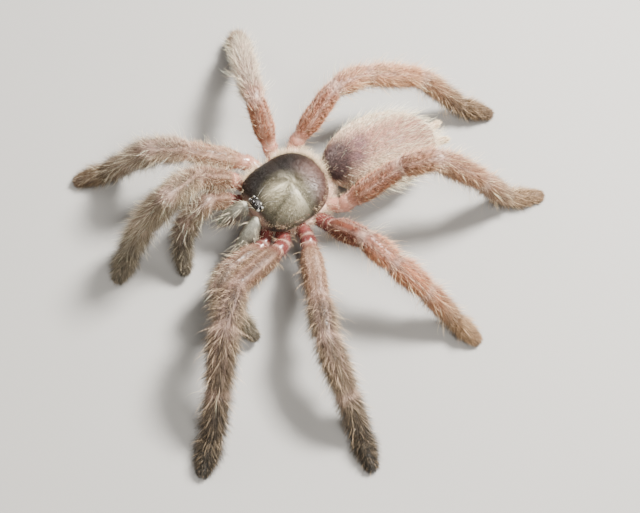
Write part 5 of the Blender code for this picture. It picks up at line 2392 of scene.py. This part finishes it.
@dataclass
class Studio:
    """The plain pale floor, the soft lights and the camera at the photo's angle."""

    azimuth: float = 55.1
    elevation: float = 65.0
    distance: float = 170.0
    target: Triple = (0.0, 0.0, 10.0)
    target_pixel: Pair = (286.3, 190.8)
    picture: tuple[int, int] = (640, 513)
    lens: float = 50.0
    sensor: float = 36.0
    clip_start: float = 5.0
    lamps: tuple[Lamp, ...] = (
        Lamp("key", turn=125.0, rise=52.0, side=90.0, watts=8.4),
        Lamp("fill", turn=30.0, rise=60.0, side=150.0, watts=1.6),
        Lamp("rim", turn=240.0, rise=30.0, side=250.0, watts=0.8),
    )
    lamp_distance: float = 400.0
    lamp_tone: Triple = (1.0, 0.97, 0.92)
    world_strength: float = 0.16
    floor_half: float = 900.0
    floor_tone: Triple = (0.33, 0.322, 0.31)
    floor_roughness: float = 0.8

    def aim(self, obj: bpy.types.Object, place: Array, target: Array) -> None:
        """Puts an object at a place in millimetres, with its -Z towards a target.

        Args:
            obj: a camera or a light.
            place: where it goes.
            target: what it faces.
        """
        away = place - target
        obj.location = tuple(place * MM + ORIGIN)
        turn = math.atan2(away[0], -away[1])
        rise = math.atan2(away[2], math.hypot(away[0], away[1]))
        obj.rotation_euler = (QUARTER_TURN - rise, 0.0, turn)

    def camera(self) -> None:
        """The camera: its shift brings the target to its own pixel of the picture."""
        data = bpy.data.cameras.new("camera")
        data.lens = self.lens
        data.sensor_width = self.sensor
        data.shift_x = (self.picture[0] / 2 - self.target_pixel[0]) / self.picture[0]
        data.shift_y = (self.target_pixel[1] - self.picture[1] / 2) / self.picture[0]
        data.clip_start = self.clip_start * MM
        camera = bpy.data.objects.new("camera", data)
        bpy.context.scene.collection.objects.link(camera)
        target = np.array(self.target)
        away = heading(self.azimuth, self.elevation) * self.distance
        self.aim(camera, target + away, target)
        bpy.context.scene.camera = camera

    def light(self, lamp: Lamp) -> None:
        """Sets up one light, at the lamps' distance from the object.

        Args:
            lamp: the light's name, place, size and power.
        """
        data = bpy.data.lights.new(lamp.name, "AREA")
        data.size = lamp.side * MM
        data.energy = lamp.watts
        data.color = self.lamp_tone
        light = bpy.data.objects.new(lamp.name, data)
        bpy.context.scene.collection.objects.link(light)
        target = np.array(self.target)
        away = heading(self.azimuth + lamp.turn, lamp.rise) * self.lamp_distance
        self.aim(light, target + away, target)

    def floor(self) -> None:
        """The pale floor."""
        half = self.floor_half * MM
        mesh = bpy.data.meshes.new("floor")
        corners = [(-half, -half, 0.0), (half, -half, 0.0), (half, half, 0.0), (-half, half, 0.0)]
        mesh.from_pydata(corners, [], [(0, 1, 2, 3)])
        made, shader, _ = new_material("floor")
        shader.inputs["Base Color"].default_value = (*self.floor_tone, 1.0)
        shader.inputs["Roughness"].default_value = self.floor_roughness
        mesh.materials.append(made)
        plane = bpy.data.objects.new("floor", mesh)
        bpy.context.scene.collection.objects.link(plane)

    def build(self) -> None:
        """Makes the floor, the lights, the world and the camera."""
        self.floor()
        for lamp in self.lamps:
            self.light(lamp)
        world = bpy.data.worlds.new("studio")
        world.use_nodes = True
        backdrop = world.node_tree.nodes["Background"]
        backdrop.inputs["Color"].default_value = (*self.lamp_tone, 1.0)
        backdrop.inputs["Strength"].default_value = self.world_strength
        bpy.context.scene.world = world
        self.camera()


LEG_POSES: dict[tuple[str, int], Pose] = {
    ("left", 1): Pose(yaws=(16, 43, 47, 43, 42), pitches=(25, 17, -36, -5)),
    ("left", 2): Pose(yaws=(63, 63, 76, 84, 72), pitches=(15, 12, -21, -4)),
    ("left", 3): Pose(yaws=(101, 106, 116, 114, 107), pitches=(42, -10, -33, -22)),
    ("left", 4): Pose(yaws=(167, 146, 140, 154, 152), pitches=(37, 26, -37, -5)),
    ("right", 1): Pose(yaws=(-2, -22, 34, 11, -28), pitches=(55, 34, -63, -34)),
    ("right", 2): Pose(yaws=(34, 15, 61, 43, 20), pitches=(26, 36, -56, -9)),
    ("right", 3): Pose(yaws=(101, 110, 115, 115, 115), pitches=(49, -20, -23, -38)),
    ("right", 4): Pose(yaws=(169, 182, 209, 222, 221), pitches=(37, -11, -13, -21)),
}
PALP_POSES: dict[str, Pose] = {
    "left": Pose(yaws=(6, 30, 98, 102), pitches=(19, 8, -55)),
    "right": Pose(yaws=(-7, -2, -18, -60), pitches=(55, -22, -66)),
}
LEG_LOOKS: dict[tuple[str, int], LegLook] = {
    ("left", 1): LegLook(FRONT_TONES, bare_top=0.15, bristles=1.1, fluff=1.35),
    ("left", 2): LegLook(MIXED_TONES, bare_top=0.2, bristles=0.8, fluff=1.2),
    ("left", 3): LegLook(RED_TONES, bare_top=0.6, bristles=0.9, fluff=1.0),
    ("left", 4): LegLook(REAR_TONES, bare_top=0.2, bristles=0.9, fluff=1.0),
    ("right", 1): LegLook(GREY_TONES, bare_top=0.0, bristles=2.0, fluff=1.4),
    ("right", 2): LegLook(TAN_TONES, bare_top=0.0, bristles=1.5, fluff=1.2),
    ("right", 3): LegLook(WHITISH_TONES, bare_top=0.1, bristles=1.2, fluff=1.05),
    ("right", 4): LegLook(PALE_TONES, bare_top=0.1, bristles=1.2, fluff=1.05),
}


def main() -> None:
    """Builds the animal and the studio."""
    logging.basicConfig(level=logging.INFO, format="%(name)s %(message)s")
    rng = np.random.default_rng(SEED)
    coats = Coats()
    shield = Shield()
    shield.build(coats, rng)
    EyeCluster(shield).build(coats, rng)
    Underside().build(coats, rng)
    Abdomen().build(coats, rng)
    Jaws().build(coats, rng)
    for side_name, pose in PALP_POSES.items():
        palp = Limb(f"palp_{side_name}", 0, SIDES[side_name], pose, LegLook(PALP_TONES, fluff=1.15))
        palp.build(coats, rng)
    for (side_name, pair), pose in LEG_POSES.items():
        name = f"leg_{side_name}_{pair}"
        leg = Limb(name, pair, SIDES[side_name], pose, LEG_LOOKS[(side_name, pair)])
        leg.build(coats, rng)
    Studio().build()


if __name__ == "__main__":
    main()
